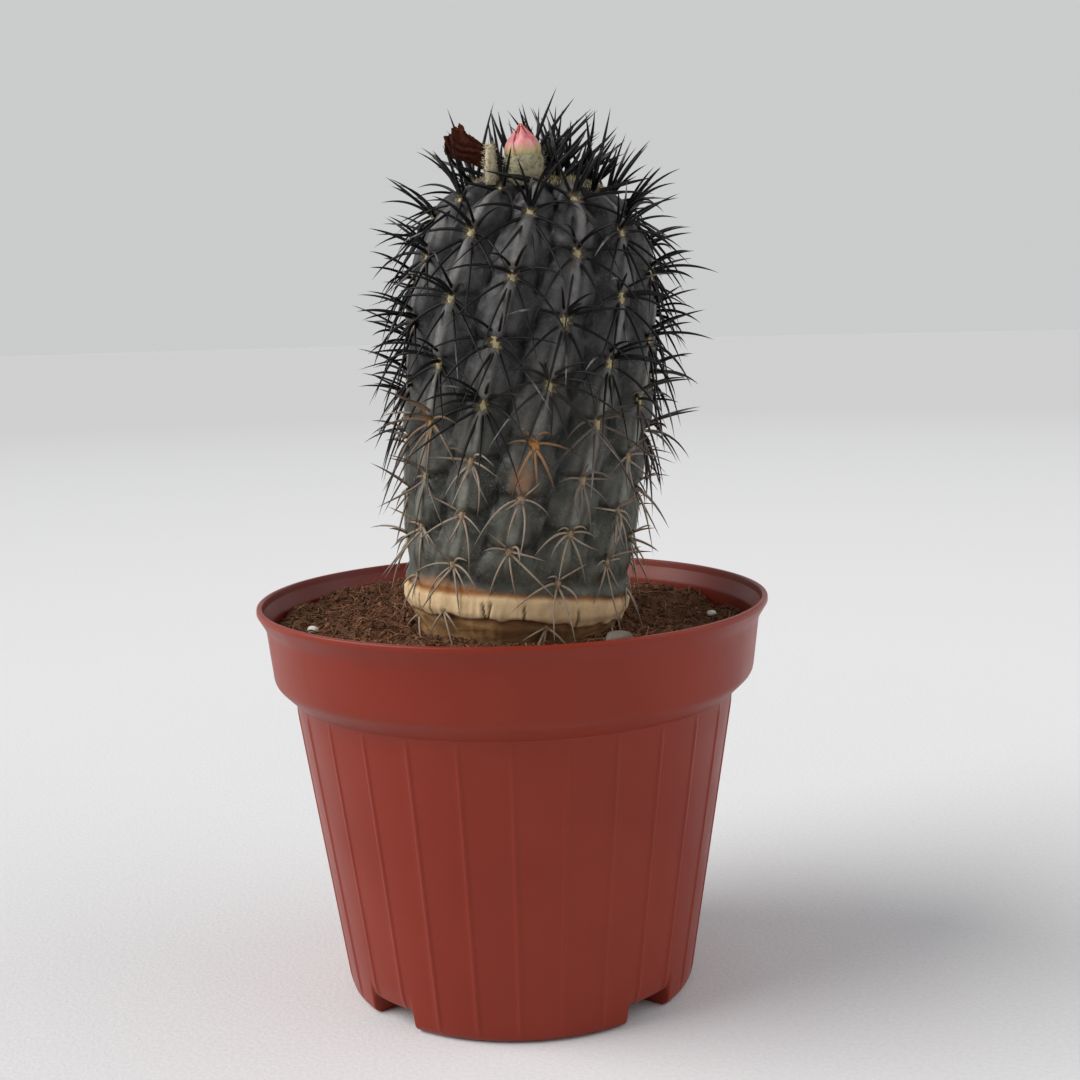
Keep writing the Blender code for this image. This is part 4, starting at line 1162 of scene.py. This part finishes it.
def soil_detail(x, y):
    points = np.stack([x, y, np.zeros_like(x)], axis=-1)
    rough = 0.9 * fractal(points, 0.16, 2, 61) + 0.7 * fractal(points, 0.55, 3, 67)
    return soil_height(x, y) + rough


def build_soil():
    outer = BAND_TOP_RADIUS - WALL - 1.2
    inner = SOIL_INNER_RADIUS
    rings = 90
    columns = 420
    radii = np.linspace(outer, inner, rings)
    headings = np.arange(columns) * TWO_PI / columns
    radius = np.repeat(radii, columns)
    heading = np.tile(headings, rings)
    x = radius * np.cos(heading)
    y = radius * np.sin(heading)
    z = soil_detail(x, y)
    top = np.stack([x, y, z], axis=-1)
    # A skirt and a floor close the body inside the pot.
    skirt_rows = []
    for radius_low, height in ((outer, 100.0), (WALL_TOP_RADIUS - WALL - 0.5, 88.0), (inner, 88.0)):
        skirt_rows.append(round_axis(radius_low, headings, np.full(columns, height)))
    points = np.vstack([skirt_rows[2], skirt_rows[1], skirt_rows[0], top])
    faces = grid_faces(rings + 3, columns, True)
    first = np.arange(columns)
    following = (first + 1) % columns
    last = (rings + 2) * columns
    closing = np.stack([last + first, last + following, following, first], axis=-1)
    faces = [np.vstack([faces, closing])]
    make_piece("soil_bed", points, faces, [soil_material()], ["soil"])


def free_of_stem(x, y, margin):
    """Whether points lie outside the stem's foot, which leans a little towards +X."""
    centre = (SOIL_LEVEL - PIVOT_HEIGHT) * math.tan(math.radians(LEAN))
    return np.hypot(x - centre, y) > NECK_RADIUS + margin


def lump_template(subdivisions, seed, rough=0.30):
    work = bmesh.new()
    bmesh.ops.create_icosphere(work, subdivisions=subdivisions, radius=1.0)
    points = np.array([vert.co[:] for vert in work.verts])
    faces = np.array([[vert.index for vert in face.verts] for face in work.faces])
    work.free()
    points = points * (1.0 + rough * fractal(points, 1.3, 2, seed))[:, None]
    return points, faces


def random_turns(generator, count):
    quaternions = generator.standard_normal((count, 4))
    quaternions /= np.linalg.norm(quaternions, axis=1, keepdims=True)
    w, x, y, z = quaternions.T
    return np.stack([
        1 - 2 * (y * y + z * z), 2 * (x * y - z * w), 2 * (x * z + y * w),
        2 * (x * y + z * w), 1 - 2 * (x * x + z * z), 2 * (y * z - x * w),
        2 * (x * z - y * w), 2 * (y * z + x * w), 1 - 2 * (x * x + y * y),
    ], axis=-1).reshape(count, 3, 3)


def scatter(generator, count, margin):
    """Places on the soil, evenly over its ring."""
    draw = generator.uniform
    outer = BAND_TOP_RADIUS - WALL - 1.5
    radius = np.sqrt(draw(SCATTER_INNER_RADIUS ** 2, outer ** 2, count * 2))
    heading = draw(0.0, TWO_PI, count * 2)
    x = radius * np.cos(heading)
    y = radius * np.sin(heading)
    keep = free_of_stem(x, y, margin)
    return x[keep][:count], y[keep][:count]


def build_crumbs():
    generator = np.random.default_rng(77)
    draw = generator.uniform
    templates = [lump_template(1, 80 + index) for index in range(6)]
    builder = Builder()
    for size_low, size_high, count in ((0.90, 1.6, 200), (0.45, 0.9, 2400), (0.25, 0.5, 6500)):
        x, y = scatter(generator, count, size_high * 0.6)
        sizes = draw(size_low, size_high, len(x))
        turns = random_turns(generator, len(x))
        z = soil_detail(x, y) + 0.15 * sizes
        flatten = draw(0.5, 1.0, (len(x), 3))
        shades = generator.beta(1.3, 2.4, len(x))
        for index in range(len(x)):
            points, faces = templates[index % len(templates)]
            shaped = (points * flatten[index] * sizes[index]) @ turns[index].T
            shaped = shaped + np.array([x[index], y[index], z[index]])
            builder.add(shaped, None, faces, 0, shade=shades[index])
    builder.build("soil_crumbs", [crumb_material()], "peat_soil")


def build_fibres():
    generator = np.random.default_rng(78)
    draw = generator.uniform
    builder = Builder()
    x, y = scatter(generator, 900, 1.0)
    for index in range(len(x)):
        length = draw(3.0, 11.0)
        heading = draw(0.0, TWO_PI)
        steps = 7
        turn = np.cumsum(generator.normal(0.0, 0.35, steps)) + heading
        path = [np.array([x[index], y[index]])]
        for step in range(1, steps):
            ahead = np.array([math.cos(turn[step]), math.sin(turn[step])])
            path.append(path[-1] + ahead * length / (steps - 1))
        path = np.array(path)
        limit = BAND_TOP_RADIUS - WALL - 2.0
        far = np.hypot(path[:, 0], path[:, 1])
        path = path * np.minimum(1.0, limit / far)[:, None]
        if not free_of_stem(path[:, 0], path[:, 1], 1.2).all():
            continue
        lift = draw(0.1, 0.9) + draw(-0.4, 1.6) * np.sin(np.linspace(0.0, math.pi, steps))
        z = soil_detail(path[:, 0], path[:, 1]) + lift
        girth = draw(0.07, 0.26)
        sizes = girth * np.array([0.7, 1.0, 1.0, 0.9, 0.8, 0.6, 0.0])
        shade = float(generator.beta(2.0, 1.6))
        if girth < 0.12:
            shade = min(1.0, shade + 0.25)
        builder.tube(np.column_stack([path, z]), sizes, 4, 0, shade=shade)
    builder.build("soil_fibres", [crumb_material()], "peat_soil")


def node_middle(node):
    """Middle and half extent of a CAD node's box, in millimetres."""
    low, high = np.array(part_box(node)) / MM
    return (low + high) / 2.0, (high - low) / 2.0


def build_stone(name, node, seed, material):
    centre, half = node_middle(node)
    points, faces = lump_template(4, seed, 0.12)
    extent = np.abs(points).max(axis=0)
    points = points / extent * half * 1.05
    points[:, 2] -= 0.5
    make_piece(name, points + centre, [faces], [material], [node])


# ---------------------------------------------------------------- crown

def tilted(heading, tilt):
    turn = Matrix.Rotation(math.radians(heading), 3, "Z") @ Matrix.Rotation(math.radians(tilt), 3, "Y")
    return LEAN_TURN @ np.array(turn)


def woolly_tube(builder, generator, outline, heights, turn, base, hairs, hair_length):
    """A lumpy closed tube with wool standing off its side."""
    draw = generator.uniform
    rows = len(outline)
    columns = 36
    headings = np.tile(np.arange(columns) * TWO_PI / columns, rows)
    ring = np.repeat(outline, columns)
    levels = np.repeat(heights, columns)
    points = round_axis(ring, headings, levels)
    points += 0.22 * np.stack([fractal(points, 0.8, 3, seed) for seed in (5, 6, 7)], axis=-1)
    points = np.vstack([points, [[0.0, 0.0, heights[-1]], [0.0, 0.0, heights[0]]]])
    builder.add(points @ turn.T + base, *tube_faces(rows, columns), 0)
    for hair in range(hairs):
        angle = draw(0.0, TWO_PI)
        level = draw(heights[0], heights[-1] - 0.3)
        far = float(np.interp(level, heights, outline)) - 0.15
        side = np.array([math.cos(angle), math.sin(angle), 0.0])
        start = far * side + np.array([0.0, 0.0, level])
        ahead = 0.7 * side + np.array([0.0, 0.0, draw(0.2, 1.2)]) + 0.35 * generator.standard_normal(3)
        ahead = unit(ahead)
        length = hair_length * draw(0.5, 1.3)
        curl = 0.3 * generator.standard_normal(3)
        path = np.array([start, start + ahead * 0.5 * length, start + ahead * length + curl * 0.6])
        builder.tube(path @ turn.T + base, [0.10, 0.08, 0.0], 3, 0)


def build_bud():
    """A pointed bud: woolly cup, then petals folded round one another."""
    middle = node_middle("bud_base")[0]
    turn = tilted(-160.0, 9.0)
    base = middle + np.array([1.0, 0.0, 0.0]) - turn @ np.array([0.0, 0.0, 3.1])
    petals = petal_material()
    for index in range(OUTER_PETALS + INNER_PETALS):
        inner = index >= OUTER_PETALS
        rows = 26
        columns = 15
        along, edge = np.meshgrid(np.linspace(0.0, 1.0, rows), np.linspace(-1.0, 1.0, columns), indexing="ij")
        centre = index * TWO_PI / OUTER_PETALS + (0.6 if inner else 0.0) + 0.1 * math.sin(index * 2.1)
        reach = 0.92 if inner else 1.0
        width = (1.05 - 0.95 * along ** 2.6) * (0.80 if inner else 0.92)
        swell = BUD_RADIUS * (0.60 + 0.42 * np.sin(np.pi * along ** 0.8)) * (1.0 - 0.93 * along ** 2.2)
        swell = swell * (0.86 if inner else 1.0) + 0.12
        overlap = 0.10 * edge * (1.0 - along)
        keel = 0.18 * bell(edge, 0.25) * np.sin(np.pi * along)
        angle = centre + edge * width * 0.85
        ring = swell + overlap + keel
        z = BUD_FOOT + along * (BUD_HEIGHT - BUD_FOOT) * reach - 0.7 * edge ** 2 * along
        within = np.maximum(ring - PETAL_THICKNESS, 0.03)
        outer = round_axis(ring, angle, z).reshape(-1, 3)
        points = np.vstack([outer, round_axis(within, angle, z - 0.02).reshape(-1, 3)])
        faces = grid_faces(rows, columns, False)
        count_side = rows * columns
        back = faces[:, ::-1] + count_side
        border = np.concatenate([
            np.arange(columns), np.arange(2, rows + 1) * columns - 1,
            np.arange(rows * columns - 2, (rows - 1) * columns - 1, -1), np.arange(rows - 2, 0, -1) * columns,
        ])
        following = np.roll(border, -1)
        rim = np.stack([following, border, border + count_side, following + count_side], axis=-1)
        points = points @ turn.T + base
        values = {
            "along": np.tile(along.ravel(), 2),
            "edge": np.tile(smoothstep(0.72, 1.0, np.abs(edge)).ravel(), 2),
        }
        make_piece(
            "petal_%d" % (index + 1), points, [np.vstack([faces, back, rim])], [petals],
            [] if inner else ["bud_petal_%d" % (index + 1)], values=values,
        )

    cup = Builder()
    part = np.linspace(0.0, 1.0, 20)
    outline = BUD_RADIUS * (0.72 + 0.32 * np.sin(np.clip(part * 1.15, 0.0, 1.0) * np.pi * 0.55))
    outline[-3:] *= np.array([0.97, 0.90, 0.80])
    woolly_tube(cup, np.random.default_rng(310), outline, -3.5 + part * 8.6, turn, base, 420, 1.5)
    wool = woolly_material("bud_base_look", (0.15, 0.135, 0.085), (0.52, 0.48, 0.32), 700.0)
    cup.build("bud_cup", [wool], "bud_base", ["bud_base"])


def build_dried_flower():
    """A shrivelled flower: a dark papery bundle in deep pleats, with a ragged sunken mouth."""
    middle = node_middle("dried_flower")[0]
    middle = middle + np.array([1.6, 0.0, 0.4])
    turn = tilted(178.0, 50.0)
    rows = 60
    columns = 140
    part = np.linspace(0.0, 1.0, rows)
    # Up the outside, over the ragged edge, then down inside the mouth.
    outside = np.minimum(part / 0.72, 1.0)
    inside = np.clip((part - 0.72) / 0.28, 0.0, 1.0)
    outline = 1.7 + 2.5 * np.sin(np.pi * np.clip(0.08 + 0.60 * outside, 0.0, 1.0)) - 2.9 * inside ** 1.4
    levels = -6.4 + 12.6 * outside - 3.4 * inside
    headings = np.tile(np.arange(columns) * TWO_PI / columns, rows)
    up = np.repeat(outside, columns)
    ring = np.repeat(outline, columns)
    level = np.repeat(levels, columns)
    around = np.stack([np.cos(headings), np.sin(headings), 0.25 * level], axis=-1)
    pleat = np.abs(np.sin(4.5 * headings + 1.1 * np.sin(0.55 * level) + 1.6 * noise(around, 1.4, 331)))
    ring = ring * (0.66 + 0.46 * pleat * (0.35 + 0.65 * up)) + 0.30 * noise(around, 5.0, 332) * up
    level = level + 2.4 * up ** 5 * noise(around, 2.2, 333) + 0.5 * up ** 4 * noise(around, 7.0, 334)
    bend = 0.9 * np.sin(0.4 * level)
    points = np.stack([ring * np.cos(headings) + bend, 0.85 * ring * np.sin(headings), level], axis=-1)
    points += 0.16 * np.stack([fractal(points, 1.2, 2, seed) for seed in (8, 9, 10)], axis=-1)
    ends = np.vstack([points[-columns:].mean(axis=0), points[:columns].mean(axis=0)])
    points = np.vstack([points, ends]) @ turn.T + middle
    material = woolly_material("dried_flower_look", (0.006, 0.0024, 0.0018), (0.105, 0.024, 0.011), 800.0)
    make_piece("dried_bloom", points, tube_faces(rows, columns), [material], ["dried_flower"])


def build_remnant():
    """The woolly tube left by an older flower."""
    middle = node_middle("flower_remnant")[0]
    turn = tilted(-120.0, 8.0)
    base = middle - turn @ np.array([0.0, 0.0, 5.4])
    builder = Builder()
    part = np.linspace(0.0, 1.0, 18)
    outline = 1.35 + 0.30 * np.sin(part * 5.0) + 0.35 * part
    outline[-2:] *= np.array([0.85, 0.55])
    woolly_tube(builder, np.random.default_rng(312), outline, part * 11.0 - 1.2, turn, base, 420, 1.4)
    material = woolly_material("flower_remnant_look", (0.26, 0.22, 0.14), (0.70, 0.62, 0.46), 700.0)
    builder.build("old_flower_tube", [material], "flower_remnant", ["flower_remnant"])


def build_crown_wool():
    """Cream wool filling the growing point between the youngest areoles."""
    generator = np.random.default_rng(313)
    draw = generator.uniform
    builder = Builder()
    for tuft in range(4200):
        radius = 19.0 * math.sqrt(draw(0.0, 1.0))
        angle = draw(0.0, TWO_PI)
        top = float(np.interp(radius, STEM_LINE[::-1, 1], STEM_LINE[::-1, 0])) - 0.6
        start = np.array([radius * math.cos(angle), radius * math.sin(angle), top])
        ahead = np.array([0.4 * math.cos(angle), 0.4 * math.sin(angle), 1.0])
        ahead = unit(ahead + 0.5 * generator.standard_normal(3))
        length = draw(1.0, 3.2) * (1.0 - 0.02 * radius)
        curl = 0.35 * generator.standard_normal(3)
        path = [start, start + ahead * 0.35 * length, start + ahead * 0.7 * length + curl * 0.4,
                start + ahead * length + curl]
        builder.tube(leaned(path), [0.13, 0.12, 0.09, 0.0], 3, 0, age=0.0, along=0.0, tint=0.0, worn=0.0)
    builder.build("crown_wool", [felt_material()], "dark_spines")


# ---------------------------------------------------------------- stage, light, camera

def build_stage():
    work = bmesh.new()
    bmesh.ops.create_circle(work, cap_ends=True, radius=9.0, segments=96)
    floor = new_object("floor", mesh_from(work, "floor"))
    floor.location.z = -0.0002
    n = Nodes("floor_look")
    grain = n.noise(700.0, 4.0, 0.6)
    # Painted light falloff: the floor colour is paler near the middle and darker far off, a painted pool of
    # light.
    near = n.mix(n.span(grain, 0.3, 0.7), (0.69, 0.69, 0.71), (0.755, 0.755, 0.775))
    far = n.add("VectorMath")
    far.operation = "LENGTH"
    n.link(n.place, far.inputs[0])
    colour = n.mix(n.span(far.outputs["Value"], 0.5, 2.6), near, (0.560, 0.565, 0.57))
    floor.data.materials.append(n.finish(colour, 0.9, n.bump(grain, 0.0004, 0.4), specular_ior_level=0.1))


def add_sun(name, place, spread, power, colour):
    """A broad soft light that falls the same way everywhere, from the direction of a place."""
    data = bpy.data.lights.new(name, "SUN")
    data.angle = math.radians(spread)
    data.energy = power
    data.color = colour
    light = new_object(name, data)
    light.rotation_euler = (-Vector(place)).to_track_quat("-Z", "Y").to_euler()


def build_light():
    world = bpy.data.worlds.new("studio")
    bpy.context.scene.world = world
    world.use_nodes = True
    tree = world.node_tree
    background = tree.nodes["Background"]
    background.inputs["Strength"].default_value = 1.0
    coordinates = tree.nodes.new("ShaderNodeTexCoord")
    parts = tree.nodes.new("ShaderNodeSeparateXYZ")
    tree.links.new(coordinates.outputs["Generated"], parts.inputs["Vector"])
    climb = tree.nodes.new("ShaderNodeMapRange")
    climb.inputs["From Min"].default_value = 0.25
    climb.inputs["From Max"].default_value = 1.0
    tree.links.new(parts.outputs["Z"], climb.inputs["Value"])
    blend = tree.nodes.new("ShaderNodeMix")
    blend.data_type = "RGBA"
    blend.inputs[6].default_value = (0.595, 0.605, 0.600, 1.0)
    blend.inputs[7].default_value = (0.25, 0.255, 0.26, 1.0)
    tree.links.new(climb.outputs["Result"], blend.inputs[0])
    tree.links.new(blend.outputs[2], background.inputs["Color"])
    add_sun("key", (-1.0, -0.20, 0.80), 50.0, 3.0, (1.0, 0.985, 0.955))
    add_sun("fill", (1.0, -0.15, 0.55), 60.0, 0.8, (1.0, 1.0, 1.0))


def build_camera():
    data = bpy.data.cameras.new("camera")
    data.sensor_width = SENSOR_WIDTH
    data.lens = FOCAL_LENGTH
    camera = new_object("camera", data)
    camera.matrix_world = (
        Matrix.Translation((0.0087, -0.471, 0.2025))
        @ Matrix.Rotation(math.radians(90.0 - 8.32), 4, "X")
        @ Matrix.Rotation(math.radians(-1.433), 4, "Z")
    )
    data.clip_start = 0.01
    data.clip_end = 30.0
    bpy.context.scene.camera = camera


bpy.context.scene.view_settings.view_transform = "Standard"
build_camera()
build_light()
build_stage()
build_pot()
build_stem()
build_areoles()
build_soil()
build_crumbs()
build_fibres()
grey_stone = stone_material("pebble_look", (0.085, 0.066, 0.050), (0.22, 0.18, 0.145), 0.75)
white_stone = stone_material("perlite_look", (0.55, 0.52, 0.46), (0.86, 0.84, 0.78), 0.9)
build_stone("river_pebble", "pebble", 5, grey_stone)
build_stone("perlite_grain_left", "perlite_left", 6, white_stone)
build_stone("perlite_grain_right", "perlite_right", 7, white_stone)
build_bud()
build_dried_flower()
build_remnant()
build_crown_wool()
